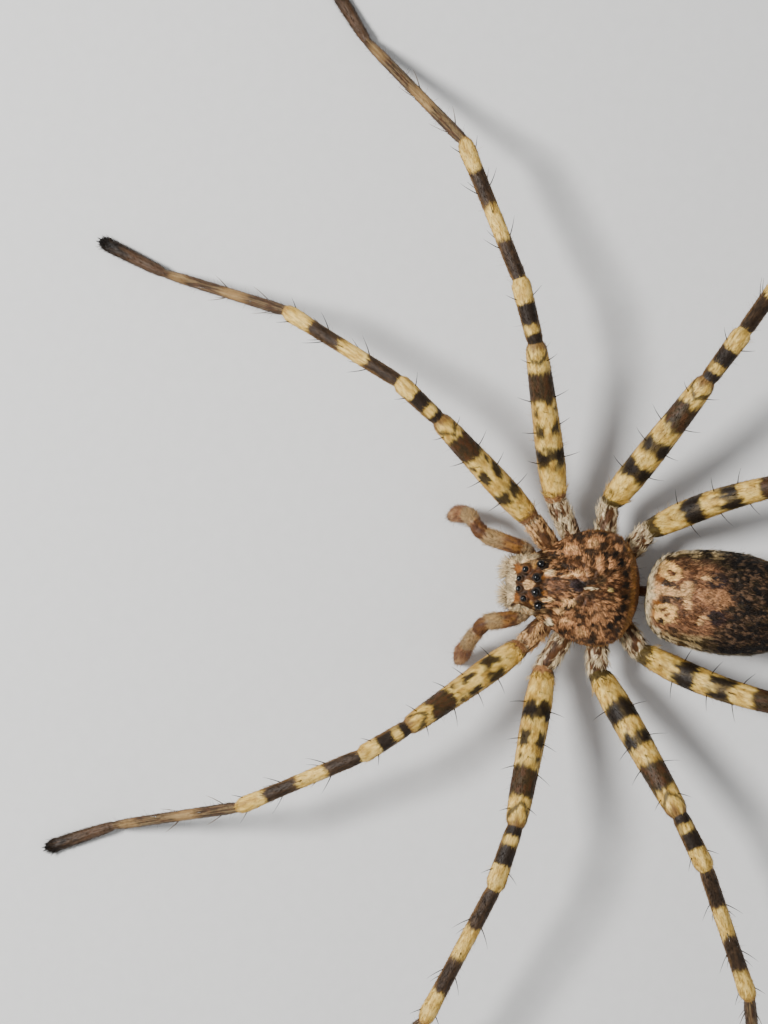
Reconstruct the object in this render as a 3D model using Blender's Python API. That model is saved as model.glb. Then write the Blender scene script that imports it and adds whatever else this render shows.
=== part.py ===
"""A huntsman spider at life size, standing still with its legs spread wide.

Metres, +Z up. The head faces -Y, the spider's own left is +X, and the feet stand on z = 0.
Sizes in this file are millimetres, and MM turns them into metres where a mesh is made.
"""

import math

import bmesh
import bpy
from mathutils import Matrix, Vector

MM = 0.001
SIDES = {"left": 1, "right": -1}
UP = Vector((0, 0, 1))
STRAIGHT = (0, 0)

# Gaps between neighbouring pieces
JOINT_GAP = 0.28
EYE_GAP = 0.12

# Edges sharper than this many degrees are shaded as creases
CREASE_ANGLE = 45

# The middle of the feet, measured from the middle of the body, is the model's origin
MIDDLE = (0.56, 2.76)

# Carapace: (distance along the body, half width, height of the back, height of the lower edge)
CARAPACE = [
    (-6.65, 1.62, 6.60, 6.05),
    (-6.45, 1.98, 6.88, 6.05),
    (-6.1, 2.20, 7.22, 6.05),
    (-5.6, 2.32, 7.55, 6.02),
    (-5.0, 2.45, 7.80, 5.90),
    (-4.6, 2.65, 7.95, 5.45),
    (-4.2, 2.90, 8.05, 5.05),
    (-3.4, 3.35, 8.20, 5.00),
    (-2.5, 3.95, 8.35, 5.00),
    (-1.5, 4.45, 8.50, 5.00),
    (-0.5, 4.74, 8.60, 5.00),
    (0.4, 4.84, 8.60, 5.00),
    (1.3, 4.76, 8.42, 5.00),
    (2.1, 4.45, 8.02, 5.00),
    (2.8, 3.85, 7.45, 5.00),
    (3.4, 2.85, 6.75, 5.00),
    (3.8, 1.75, 6.10, 5.00),
    (4.0, 0.90, 5.60, 5.00),
]
CARAPACE_BASE = 5.00
CARAPACE_LIP = 0.3
CARAPACE_INSET = 0.96
CARAPACE_POINTS = 17
HEAD_HALF_WIDTH, HEAD_FLARE = 2.5, 1.5
HEAD_START, HEAD_END = -3.6, 0.2
SHOULDER_DROP = 1.15
# How full the cross sections of the thorax and the head are: (across, up)
THORAX_FULLNESS = (2.2, 0.62)
HEAD_FULLNESS = (2.8, 0.55)

# Eyes: (name, distance from the middle, distance along the body, diameter, share that stands proud)
EYES = [
    ("eye_front_middle", 0.42, -6.00, 0.46, 0.58),
    ("eye_front_side", 1.18, -5.54, 0.54, 0.58),
    ("eye_back_middle", 0.60, -4.64, 0.66, 0.58),
    ("eye_back_side", 1.66, -4.32, 0.70, 0.58),
]

# How far either side of an eye the slope of the carapace is taken
EYE_SLOPE_REACH = 0.15

# Breastplate and the front lip of the mouth below the carapace
STERNUM_TOP, STERNUM_EDGE, STERNUM_LOW = 4.72, 2.75, 2.35
STERNUM_FACE = 0.65
LIP = [(0.88, -3.45), (0.82, -4.60), (0.45, -4.90)]
STERNUM_SHOULDER = (1.20, -3.30)
STERNUM_REAR = (0.60, 3.32)
STERNUM_INSET = 0.86

# Legs: how far out and back each pair's coxa starts and its hip stands, and each hip's height
COXA_BASES = {1: (2.30, -2.60), 2: (2.62, -0.90), 3: (2.62, 0.90), 4: (2.20, 2.50)}
COXA_HEIGHT = 3.60
HIPS = {1: (5.20, -5.10, 3.9), 2: (6.85, -3.20, 4.0), 3: (6.90, 1.20, 4.0), 4: (5.00, 4.55, 4.1)}

# Lengths of femur, patella, tibia, metatarsus and tarsus, a pair
LENGTHS = {
    1: (12.5, 4.4, 10.9, 13.2, 5.9),
    2: (14.1, 5.2, 12.3, 14.6, 5.6),
    3: (13.7, 4.8, 11.7, 13.5, 5.3),
    4: (13.3, 4.3, 11.3, 15.2, 5.4),
}
# The same five pieces' bearings: 0 is straight ahead, 90 straight out to the leg's own side
BEARINGS = {
    (1, "left"): (37, 35, 27.5, 17, 23),
    (1, "right"): (42, 39, 28.5, 16, 23),
    (2, "left"): (81, 75, 67, 55, 57),
    (2, "right"): (76.5, 71.5, 65, 47, 55),
    (3, "left"): (122.5, 120, 113.5, 104.5, 103),
    (3, "right"): (122, 122.5, 122, 115, 117),
    (4, "left"): (164, 166, 164, 161.5, 161),
    (4, "right"): (156.5, 163, 159.5, 157, 158),
}
# Heights of the femur's, the patella's and the tibia's far ends
KNEES = {
    (1, "left"): (9.1, 9.5, 8.1),
    (1, "right"): (9.4, 9.8, 8.1),
    (2, "left"): (10.6, 10.8, 9.2),
    (2, "right"): (10.0, 10.6, 8.6),
    (3, "left"): (9.6, 9.8, 7.6),
    (3, "right"): (10.2, 10.6, 8.7),
    (4, "left"): (9.5, 9.7, 8.2),
    (4, "right"): (9.9, 10.4, 8.4),
}
ANKLE_HEIGHT, TOE_HEIGHT = 1.0, 0.42
# How far each pair's femur arches up, and how far it sweeps away from the body, at its middle
FEMUR_ARCH = {1: 0.35, 2: 0.40, 3: 0.45, 4: 0.50}
FEMUR_SWEEP = {1: 0.0, 2: 0.0, 3: 0.0, 4: 0.50}
TARSUS_SAG = 0.16

# Rings along each leg piece: (share of its length, half width, half height)
COXA_RINGS = [
    (0.0, 0.70, 0.80), (0.25, 0.84, 0.90), (0.55, 0.98, 0.95), (0.72, 0.90, 0.90),
    (0.82, 0.97, 0.95), (1.0, 0.88, 0.88),
]
FEMUR_RINGS = [
    (0.0, 0.88, 0.88), (0.08, 1.08, 1.10), (0.22, 1.23, 1.26), (0.42, 1.22, 1.28),
    (0.65, 1.12, 1.16), (0.84, 1.04, 1.03), (0.95, 0.96, 0.92), (1.0, 0.78, 0.74),
]
PATELLA_RINGS = [(0.0, 0.68, 0.68), (0.14, 0.77, 0.80), (0.55, 0.82, 0.86), (0.90, 0.87, 0.86)]
TIBIA_RINGS = [
    (0.0, 0.64, 0.64), (0.06, 0.70, 0.72), (0.30, 0.71, 0.74), (0.62, 0.70, 0.71),
    (0.82, 0.74, 0.72), (0.94, 0.80, 0.74), (1.0, 0.62, 0.58),
]
METATARSUS_RINGS = [
    (0.0, 0.50, 0.50), (0.06, 0.58, 0.56), (0.40, 0.56, 0.52), (0.85, 0.54, 0.48), (1.0, 0.46, 0.42),
]
TARSUS_RINGS = [
    (0.0, 0.44, 0.40), (0.10, 0.52, 0.46), (0.45, 0.58, 0.49), (0.72, 0.62, 0.50),
    (0.92, 0.66, 0.46), (1.0, 0.44, 0.30),
]
# How much stouter each pair's legs are than these rings
STOUTNESS = {1: 0.95, 2: 1.0, 3: 1.02, 4: 0.94}

# Points round each kind of body
COXA_SIDES, FEMUR_SIDES, TIBIA_SIDES, METATARSUS_SIDES, TARSUS_SIDES = 10, 12, 10, 8, 8
CHELICERA_SIDES, PALP_SIDES, FANG_SIDES, PEDICEL_SIDES = 12, 10, 8, 12
EYE_SEGMENTS, EYE_RINGS = 12, 8

# Spines: (share of the length, turn round the leg where 90 is the top, length)
FEMUR_SPINES = [(0.17, 72, 1.9), (0.46, 58, 2.0), (0.48, 122, 2.0), (0.72, 38, 1.9), (0.76, 142, 1.9)]
TIBIA_SPINES = [(0.28, 20, 1.9), (0.33, 160, 1.9), (0.66, 24, 1.9), (0.71, 156, 1.9)]
METATARSUS_SPINES = [(0.10, 14, 2.1), (0.14, 166, 2.1), (0.47, 18, 2.0), (0.52, 162, 2.0)]
SPINE_ROOT, SPINE_TIP, SPINE_SIDES = 0.23, 0.06, 5
SPINE_DEPTH = 0.42
SPINE_LEAN = {"femur": 52, "tibia": 32, "metatarsus": 25}

# Jaws
CHELICERA_RINGS = [
    # (height, distance out, distance along the body, half width, half depth)
    (5.77, 1.00, -5.95, 0.78, 0.86),
    (5.35, 1.01, -6.08, 0.85, 1.02),
    (4.50, 1.02, -6.14, 0.86, 1.06),
    (3.50, 1.00, -6.14, 0.80, 0.96),
    (2.70, 0.95, -6.10, 0.66, 0.78),
    (2.25, 0.92, -6.06, 0.46, 0.56),
]
FANG_POINTS = [(1.00, -6.18, 1.98), (0.86, -6.08, 1.62), (0.66, -5.76, 1.36), (0.42, -5.38, 1.28)]
FANG_RADII = [0.30, 0.26, 0.18, 0.07]

# Palps: base piece beside the lip, then the joints out to the tip
PALP_ROOT = [(1.70, -3.85, 3.50), (2.12, -4.68, 3.60), (2.75, -5.48, 4.25)]
PALP_REACH = {
    "left": [(3.12, -6.80, 5.10), (3.45, -8.30, 5.45), (4.35, -9.05, 4.90), (5.30, -9.60, 3.85),
             (6.25, -9.95, 2.40), (7.00, -10.15, 1.05)],
    "right": [(3.12, -6.90, 5.10), (3.75, -8.95, 5.45), (4.70, -9.85, 4.85), (5.30, -10.35, 3.80),
              (5.30, -11.05, 2.35), (5.00, -11.60, 1.05)],
}
PALP_RADII = [0.40, 0.52, 0.62, 0.74, 0.72, 0.64, 0.66, 0.70, 0.42]

# Rings between two given points of a fang or a palp
CURVE_STEPS = 2

# Waist
PEDICEL_START, PEDICEL_END = (0.0, 3.63, 4.05), (0.02, 4.46, 4.55)
PEDICEL_RADIUS = 0.5

# Abdomen: (distance from its front, half width, half height, height of its middle)
ABDOMEN_FRONT = (0.10, 4.76)
ABDOMEN_TURN = -3.5
ABDOMEN = [
    (0.0, 1.65, 1.25, 5.10),
    (0.25, 2.55, 1.95, 5.18),
    (0.8, 3.30, 2.55, 5.30),
    (1.9, 3.86, 3.02, 5.45),
    (3.6, 4.20, 3.35, 5.60),
    (5.4, 4.38, 3.50, 5.70),
    (7.2, 4.38, 3.50, 5.70),
    (8.8, 4.16, 3.32, 5.64),
    (10.2, 3.70, 2.95, 5.50),
    (11.4, 3.00, 2.40, 5.30),
    (12.4, 2.12, 1.72, 5.06),
    (13.1, 1.30, 1.08, 4.90),
    (13.5, 0.78, 0.66, 4.80),
]
ABDOMEN_POINTS = 22
ABDOMEN_SQUARENESS = 2.25

# Spinnerets: a low base and three pairs of short cones
SPINNERET_BASE = (0.72, 0.62, 0.45)
SPINNERET_RING, SPINNERET_LENGTH, SPINNERET_SPLAY = 0.36, 0.95, 14
SPINNERET_ROOT, SPINNERET_TIP = 0.26, 0.12
SPINNERET_COUNT, SPINNERET_SIDES, SPINNERET_BASE_SIDES = 6, 7, 14

# Colours: (red, green, blue, roughness)
FINISHES = {
    "carapace": (0.30, 0.17, 0.10, 0.65),
    "abdomen": (0.33, 0.22, 0.14, 0.75),
    "underside": (0.20, 0.13, 0.08, 0.70),
    "chelicera": (0.34, 0.21, 0.13, 0.55),
    "fang": (0.04, 0.02, 0.02, 0.20),
    "eye": (0.01, 0.01, 0.01, 0.08),
    "palp": (0.45, 0.30, 0.16, 0.60),
    "femur": (0.58, 0.42, 0.20, 0.60),
    "tibia": (0.46, 0.33, 0.16, 0.60),
    "metatarsus": (0.30, 0.19, 0.11, 0.50),
    "tarsus": (0.12, 0.08, 0.06, 0.75),
}


def clear_scene():
    """Empties the scene and makes the two collections that the model uses."""
    for old in list(bpy.data.objects):
        bpy.data.objects.remove(old)
    for name in ("huntsman_spider", "cutters"):
        bpy.context.scene.collection.children.link(bpy.data.collections.new(name))
    body = bpy.data.objects.new("spider_origin", None)
    body.location = (-MIDDLE[0] * MM, -MIDDLE[1] * MM, 0)
    bpy.data.collections["huntsman_spider"].objects.link(body)


def finish_for(name, kind):
    """A material of the piece's own, from the shared table of colours."""
    red, green, blue, roughness = FINISHES[kind]
    made = bpy.data.materials.new(name)
    made.use_nodes = True
    shader = made.node_tree.nodes["Principled BSDF"]
    shader.inputs["Base Color"].default_value = (red, green, blue, 1)
    shader.inputs["Roughness"].default_value = roughness
    shader.inputs["Metallic"].default_value = 0.0
    made.diffuse_color = (red, green, blue, 1)
    return made


def set_down(name, build, place, kind):
    """Turns a bmesh in the piece's own frame, in millimetres, into a placed object."""
    bmesh.ops.recalc_face_normals(build, faces=build.faces)
    mesh = bpy.data.meshes.new(name)
    build.to_mesh(mesh)
    build.free()
    mesh.transform(Matrix.Scale(MM, 4))
    mesh.shade_smooth()
    mesh.set_sharp_from_angle(angle=math.radians(CREASE_ANGLE))
    mesh.materials.append(finish_for(name, kind))
    piece = bpy.data.objects.new(name, mesh)
    bpy.data.collections["huntsman_spider"].objects.link(piece)
    piece.parent = bpy.data.objects["spider_origin"]
    piece.location = place.to_translation() * MM
    piece.rotation_euler = place.to_euler()
    return piece


def loft(name, rings, place, kind):
    """A closed body through rings of as many points each, with a flat face over each end."""
    build = bmesh.new()
    inverse = place.inverted()
    rows = [[build.verts.new(inverse @ Vector(point)) for point in ring] for ring in rings]
    count = len(rows[0])
    for low, high in zip(rows, rows[1:]):
        for k in range(count):
            after = (k + 1) % count
            build.faces.new((low[k], low[after], high[after], high[k]))
    build.faces.new(rows[0])
    build.faces.new(rows[-1])
    return set_down(name, build, place, kind)


def along(table, column, at):
    """The value of a column at a distance, on straight lines between the table's rows."""
    for low, high in zip(table, table[1:]):
        if at <= high[0]:
            share = max(0.0, (at - low[0]) / (high[0] - low[0]))
            return low[column] + share * (high[column] - low[column])
    return table[-1][column]


def ease(share):
    """0 to 1 with no kink at either end."""
    share = min(1.0, max(0.0, share))
    return share * share * (3 - 2 * share)


def carapace_height(x, y):
    """The height of the carapace's back over a point of its outline."""
    half_width = along(CARAPACE, 1, y)
    crest = along(CARAPACE, 2, y)
    rim = along(CARAPACE, 3, y) + CARAPACE_LIP
    head = 1 - ease((y - HEAD_START) / (HEAD_END - HEAD_START))
    shoulder = crest - SHOULDER_DROP * head
    across = min(1.0, abs(x) / half_width)
    low = rim + (shoulder - rim) * (1 - across ** THORAX_FULLNESS[0]) ** THORAX_FULLNESS[1]
    on_head = min(1.0, abs(x) / min(half_width, HEAD_HALF_WIDTH + HEAD_FLARE * (1 - head)))
    high = rim + (crest - rim) * (1 - on_head ** HEAD_FULLNESS[0]) ** HEAD_FULLNESS[1]
    return max(low, high)


def build_carapace():
    """The shield over the head and thorax, flat below, with a shallow seat for each eye."""
    rings = []
    for y, half_width, _, low in CARAPACE:
        inner = CARAPACE_INSET * half_width
        ring = [(inner, y, low), (half_width, y, low + CARAPACE_LIP)]
        for k in range(1, CARAPACE_POINTS - 1):
            x = half_width * math.cos(math.pi * k / (CARAPACE_POINTS - 1))
            ring.append((x, y, carapace_height(x, y)))
        ring += [(-half_width, y, low + CARAPACE_LIP), (-inner, y, low)]
        rings.append(ring)
    carapace = loft("carapace", rings, Matrix.Translation((0, 0, CARAPACE_BASE)), "carapace")
    for name, out, y, diameter, proud in EYES:
        for side, sign in SIDES.items():
            seat_eye(f"{name}_{side}", sign * out, y, diameter / 2, proud)
    cut = carapace.modifiers.new("eye seats", "BOOLEAN")
    cut.operation = "DIFFERENCE"
    cut.operand_type = "COLLECTION"
    cut.collection = bpy.data.collections["cutters"]
    cut.solver = "EXACT"


def seat_eye(name, x, y, radius, proud):
    """An eye, and the cutter for its seat, set square to the carapace's surface."""
    reach = EYE_SLOPE_REACH
    slope_x = (carapace_height(x + reach, y) - carapace_height(x - reach, y)) / (2 * reach)
    slope_y = (carapace_height(x, y + reach) - carapace_height(x, y - reach)) / (2 * reach)
    normal = Vector((-slope_x, -slope_y, 1)).normalized()
    middle = Vector((x, y, carapace_height(x, y))) + normal * radius * (2 * proud - 1)
    place = Matrix.Translation(middle) @ normal.to_track_quat("Z", "Y").to_matrix().to_4x4()
    eye = bmesh.new()
    bmesh.ops.create_uvsphere(eye, u_segments=EYE_SEGMENTS, v_segments=EYE_RINGS, radius=radius)
    set_down(name, eye, place, "eye")
    seat = bmesh.new()
    bmesh.ops.create_uvsphere(
        seat, u_segments=EYE_SEGMENTS, v_segments=EYE_RINGS, radius=radius + EYE_GAP)
    cutter = set_down(name + "_seat", seat, place, "eye")
    bpy.data.collections["huntsman_spider"].objects.unlink(cutter)
    bpy.data.collections["cutters"].objects.link(cutter)
    cutter.hide_render = True
    cutter.display_type = "WIRE"


def coxa_direction(pair):
    """The level direction of a left coxa, from the breastplate to its hip."""
    base, hip = COXA_BASES[pair], HIPS[pair]
    return Vector((hip[0] - base[0], hip[1] - base[1], 0)).normalized()


def build_sternum():
    """The breastplate with the lip in front: one flat face stands before each coxa."""
    outline = [(LIP[2][0], LIP[2][1]), LIP[1], LIP[0], STERNUM_SHOULDER]
    for pair in (1, 2, 3, 4):
        direction = coxa_direction(pair)
        face = Vector((*COXA_BASES[pair], 0)) - direction * JOINT_GAP
        across = Vector((-direction.y, direction.x, 0)) * STERNUM_FACE
        outline += [tuple((face - across)[:2]), tuple((face + across)[:2])]
    outline.append(STERNUM_REAR)
    outline += [(-x, y) for x, y in reversed(outline)]
    rings = [[(x, y, STERNUM_TOP) for x, y in outline], [(x, y, STERNUM_EDGE) for x, y in outline]]
    rings.append([(x * STERNUM_INSET, y * STERNUM_INSET, STERNUM_LOW) for x, y in outline])
    loft("sternum", rings, Matrix.Translation((0, 0, STERNUM_EDGE)), "underside")


def axes(direction):
    """A piece's level side direction and its upward direction, square to its length."""
    side = UP.cross(direction).normalized()
    return side, direction.cross(side).normalized()


def placed_along(start, direction):
    """A frame at a point, with X along the direction and Z as far up as it can be."""
    side, up = axes(direction)
    turn = Matrix((direction, side, up)).transposed().to_4x4()
    return Matrix.Translation(start) @ turn


def bowed(start, end, share, bow):
    """The middle of a stretch of a limb that bows aside and up by the two amounts of the bow."""
    side, up = axes((end - start).normalized())
    return start.lerp(end, share) + (side * bow[0] + up * bow[1]) * math.sin(math.pi * share)


def limb_rings(joints, stretches, sides, before, after, bow, scale):
    """Rings through a limb's joints, with mitred ends that leave the joint gap to its neighbours."""
    directions = [(b - a).normalized() for a, b in zip(joints, joints[1:])]
    rings = []
    for k, (start, end, direction) in enumerate(zip(joints, joints[1:], directions)):
        ahead = directions[k + 1] if k + 1 < len(directions) else after
        behind = directions[k - 1] if k else before
        side, up = axes(direction)
        for share, wide, high in stretches[k]:
            middle = bowed(start, end, share, bow)
            normal, on = direction, middle
            if share == 0 and behind:
                normal = (behind + direction).normalized()
                on = start + normal * (0 if k else JOINT_GAP / 2)
            if share == 1 and ahead:
                normal = (direction + ahead).normalized()
                on = end - normal * (0 if k + 1 < len(directions) else JOINT_GAP / 2)
            ring = []
            for step in range(sides):
                angle = 2 * math.pi * (step + 0.5) / sides
                point = middle + side * wide * scale * math.cos(angle) + up * high * scale * math.sin(angle)
                point += direction * ((on - point).dot(normal) / direction.dot(normal))
                ring.append(point)
            rings.append(ring)
    return rings


def leg_joints(pair, side):
    """A leg's joints from the hip to the toe, from its lengths, bearings and heights."""
    sign = SIDES[side]
    x, y, z = HIPS[pair]
    points = [Vector((sign * x, y, z))]
    heights = (*KNEES[pair, side], ANKLE_HEIGHT, TOE_HEIGHT)
    for length, bearing, height in zip(LENGTHS[pair], BEARINGS[pair, side], heights):
        rise = height - points[-1].z
        level = math.sqrt(length ** 2 - rise ** 2)
        turn = math.radians(bearing)
        points.append(points[-1] + Vector((sign * level * math.sin(turn), -level * math.cos(turn), rise)))
    return points


def make_spines(limb, joints, rings, spines, kind, bow, scale):
    """Tapered spines on one stretch of a limb, fused with it as one closed body."""
    start, end = joints
    direction = (end - start).normalized()
    side, up = axes(direction)
    lean = math.radians(SPINE_LEAN[kind])
    loose = bpy.data.collections.new(limb.name + "_spines")
    bpy.context.scene.collection.children.link(loose)
    for number, (share, roll, length) in enumerate(spines):
        angle = math.radians(roll)
        out = side * math.cos(angle) + up * math.sin(angle)
        radius = min(along(rings, 1, share), along(rings, 2, share)) * scale
        pointing = direction * math.cos(lean) + out * math.sin(lean)
        root = bowed(start, end, share, bow) + out * radius * SPINE_DEPTH
        place = Matrix.Translation(root) @ pointing.to_track_quat("Z", "Y").to_matrix().to_4x4()
        cone = bmesh.new()
        bmesh.ops.create_cone(
            cone, cap_ends=True, segments=SPINE_SIDES, radius1=SPINE_ROOT, radius2=SPINE_TIP,
            depth=length, matrix=Matrix.Translation((0, 0, length / 2)),
        )
        spine = set_down(f"{limb.name}_spine_{number}", cone, place, kind)
        bpy.data.collections["huntsman_spider"].objects.unlink(spine)
        loose.objects.link(spine)
    fuse(limb, loose)


def fuse(piece, loose):
    """Joins a collection's closed bodies to a piece, and removes the collection."""
    join = piece.modifiers.new("fused", "BOOLEAN")
    join.operation = "UNION"
    join.operand_type = "COLLECTION"
    join.collection = loose
    join.solver = "EXACT"
    bpy.context.view_layer.update()
    seen = piece.evaluated_get(bpy.context.evaluated_depsgraph_get())
    joined = bpy.data.meshes.new_from_object(seen)
    piece.modifiers.remove(join)
    finish = piece.data.materials[0]
    keep_largest(joined)
    joined.materials.clear()
    joined.materials.append(finish)
    piece.data = joined
    for extra in list(loose.objects):
        bpy.data.objects.remove(extra)
    bpy.data.collections.remove(loose)


def keep_largest(mesh):
    """Deletes all but the mesh's largest connected surface."""
    build = bmesh.new()
    build.from_mesh(mesh)
    unseen = set(build.verts)
    islands = []
    while unseen:
        island, edge = set(), [unseen.pop()]
        while edge:
            vert = edge.pop()
            island.add(vert)
            near = {link.other_vert(vert) for link in vert.link_edges} & unseen
            unseen -= near
            edge += near
        islands.append(island)
    islands.sort(key=len)
    for island in islands[:-1]:
        bmesh.ops.delete(build, geom=list(island), context="VERTS")
    for face in build.faces:
        face.material_index = 0
    build.to_mesh(mesh)
    build.free()


def build_leg(pair, side):
    """One leg: coxa, femur, tibia with the patella at its head, metatarsus and tarsus."""
    sign = SIDES[side]
    out, back = COXA_BASES[pair]
    base = Vector((sign * out, back, COXA_HEIGHT))
    hip, knee, shin, ankle, heel, toe = leg_joints(pair, side)
    points = [base, hip, knee, shin, ankle, heel, toe]
    ways = [(b - a).normalized() for a, b in zip(points, points[1:])]
    coxa_way, femur_way, patella_way, tibia_way, metatarsus_way, tarsus_way = ways
    name = f"leg{pair}_{side}_"
    scale = STOUTNESS[pair]

    rings = limb_rings([base, hip], [COXA_RINGS], COXA_SIDES, None, femur_way, STRAIGHT, 1)
    level = coxa_direction(pair)
    level.x *= sign
    rings[0] = [point + coxa_way * ((base - point).dot(level) / coxa_way.dot(level)) for point in rings[0]]
    loft(name + "coxa", rings, placed_along(base, coxa_way), "femur")

    arch = (-sign * FEMUR_SWEEP[pair], FEMUR_ARCH[pair])
    rings = limb_rings([hip, knee], [FEMUR_RINGS], FEMUR_SIDES, coxa_way, patella_way, arch, scale)
    femur = loft(name + "femur", rings, placed_along(hip, femur_way), "femur")
    make_spines(femur, (hip, knee), FEMUR_RINGS, FEMUR_SPINES, "femur", arch, scale)

    rings = limb_rings(
        [knee, shin, ankle], [PATELLA_RINGS, TIBIA_RINGS], TIBIA_SIDES, femur_way, metatarsus_way,
        STRAIGHT, scale)
    tibia = loft(name + "tibia", rings, placed_along(knee, patella_way), "tibia")
    make_spines(tibia, (shin, ankle), TIBIA_RINGS, TIBIA_SPINES, "tibia", STRAIGHT, scale)

    rings = limb_rings(
        [ankle, heel], [METATARSUS_RINGS], METATARSUS_SIDES, tibia_way, tarsus_way, STRAIGHT, scale)
    metatarsus = loft(name + "metatarsus", rings, placed_along(ankle, metatarsus_way), "metatarsus")
    make_spines(
        metatarsus, (ankle, heel), METATARSUS_RINGS, METATARSUS_SPINES, "metatarsus", STRAIGHT,
        scale)

    sag = (0, -TARSUS_SAG)
    rings = limb_rings([heel, toe], [TARSUS_RINGS], TARSUS_SIDES, metatarsus_way, None, sag, 1)
    rings = [[Vector((p.x, p.y, max(p.z, 0.0))) for p in ring] for ring in rings]
    loft(name + "tarsus", rings, placed_along(heel, tarsus_way), "tarsus")


def smooth_path(points, radii, steps):
    """Points and radii on a smooth curve through the given ones."""
    knots = [Vector((*point, radius)) for point, radius in zip(points, radii)]
    knots = [2 * knots[0] - knots[1]] + knots + [2 * knots[-1] - knots[-2]]
    found = []
    for a, b, c, d in zip(knots, knots[1:], knots[2:], knots[3:]):
        for step in range(steps):
            t = step / steps
            curve = 2 * b + (c - a) * t + (2 * a - 5 * b + 4 * c - d) * t ** 2
            found.append((curve + (3 * b - a - 3 * c + d) * t ** 3) / 2)
    found.append(knots[-2])
    return found


def tapered_tube(name, points, radii, steps, sides, kind):
    """A round bent body of changing thickness, such as a palp or a fang."""
    path = smooth_path(points, radii, steps)
    rings = []
    across = UP.cross(Vector(points[1]) - Vector(points[0]))
    for k, knot in enumerate(path):
        before, after = path[max(k - 1, 0)], path[min(k + 1, len(path) - 1)]
        direction = (after - before).to_3d().normalized()
        across = (across - direction * across.dot(direction)).normalized()
        over = direction.cross(across)
        ring = []
        for step in range(sides):
            angle = 2 * math.pi * (step + 0.5) / sides
            ring.append(knot.to_3d() + (across * math.cos(angle) + over * math.sin(angle)) * knot.w)
        rings.append(ring)
    first = (path[1] - path[0]).to_3d().normalized()
    return loft(name, rings, placed_along(Vector(points[0]), first), kind)


def build_jaws(side):
    """A chelicera below the front of the carapace, its folded fang and the palp beside it."""
    sign = SIDES[side]
    rings = []
    for height, out, y, half_width, half_depth in CHELICERA_RINGS:
        ring = []
        for step in range(CHELICERA_SIDES):
            angle = 2 * math.pi * (step + 0.5) / CHELICERA_SIDES
            x = sign * out + half_width * math.cos(angle)
            ring.append((x, y + half_depth * math.sin(angle), height))
        rings.append(ring)
    top = CHELICERA_RINGS[0]
    loft(f"chelicera_{side}", rings, Matrix.Translation((sign * top[1], top[2], top[0])), "chelicera")
    fang = [(sign * x, y, z) for x, y, z in FANG_POINTS]
    tapered_tube(f"fang_{side}", fang, FANG_RADII, CURVE_STEPS, FANG_SIDES, "fang")
    palp = [(sign * x, y, z) for x, y, z in PALP_ROOT + PALP_REACH[side]]
    tapered_tube(f"palp_{side}", palp, PALP_RADII, CURVE_STEPS, PALP_SIDES, "palp")


def build_pedicel():
    """The narrow waist between the breastplate and the abdomen."""
    start, end = Vector(PEDICEL_START), Vector(PEDICEL_END)
    place = Matrix.Translation((start + end) / 2)
    place = place @ (end - start).to_track_quat("Z", "Y").to_matrix().to_4x4()
    waist = bmesh.new()
    bmesh.ops.create_cone(
        waist, cap_ends=True, segments=PEDICEL_SIDES, radius1=PEDICEL_RADIUS, radius2=PEDICEL_RADIUS,
        depth=(end - start).length,
    )
    set_down("pedicel", waist, place, "underside")


def rounded(angle, half_width, half_height, squareness):
    """A point of an oval that is a little squarer than an ellipse."""
    wide, high = math.cos(angle), math.sin(angle)
    power = 2 / squareness
    x = math.copysign(abs(wide) ** power, wide) * half_width
    return x, math.copysign(abs(high) ** power, high) * half_height


def build_abdomen():
    """The abdomen, blunt in front, and the spinnerets behind it."""
    place = Matrix.Translation((*ABDOMEN_FRONT, 0))
    place = place @ Matrix.Rotation(math.radians(ABDOMEN_TURN), 4, "Z")
    rings = []
    for y, half_width, half_height, height in ABDOMEN:
        ring = []
        for step in range(ABDOMEN_POINTS):
            angle = 2 * math.pi * step / ABDOMEN_POINTS
            x, z = rounded(angle, half_width, half_height, ABDOMEN_SQUARENESS)
            ring.append(place @ Vector((x, y, height + z)))
        rings.append(ring)
    loft("abdomen", rings, place, "abdomen")

    low, high, depth = SPINNERET_BASE
    end = ABDOMEN[-1]
    back = place @ Matrix.Translation((0, end[0] + JOINT_GAP, end[3]))
    back = back @ Matrix.Rotation(math.radians(-90), 4, "X")
    base = bmesh.new()
    bmesh.ops.create_cone(
        base, cap_ends=True, segments=SPINNERET_BASE_SIDES, radius1=low, radius2=high, depth=depth,
        matrix=Matrix.Translation((0, 0, depth / 2)),
    )
    spinnerets = set_down("spinnerets", base, back, "abdomen")
    loose = bpy.data.collections.new("spinneret_cones")
    bpy.context.scene.collection.children.link(loose)
    for number in range(SPINNERET_COUNT):
        around = Matrix.Rotation(2 * math.pi * (number + 0.5) / SPINNERET_COUNT, 4, "Z")
        splay = Matrix.Rotation(math.radians(SPINNERET_SPLAY), 4, "Y")
        set_out = Matrix.Translation((SPINNERET_RING, 0, depth / 2))
        cone = bmesh.new()
        bmesh.ops.create_cone(
            cone, cap_ends=True, segments=SPINNERET_SIDES, radius1=SPINNERET_ROOT, radius2=SPINNERET_TIP,
            depth=SPINNERET_LENGTH, matrix=Matrix.Translation((0, 0, SPINNERET_LENGTH / 2)),
        )
        made = set_down(f"spinneret_{number}", cone, back @ around @ set_out @ splay, "abdomen")
        bpy.data.collections["huntsman_spider"].objects.unlink(made)
        loose.objects.link(made)
    fuse(spinnerets, loose)


def main():
    clear_scene()
    build_carapace()
    build_sternum()
    build_pedicel()
    build_abdomen()
    for side in SIDES:
        build_jaws(side)
    for pair in HIPS:
        for side in SIDES:
            build_leg(pair, side)


main()
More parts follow.
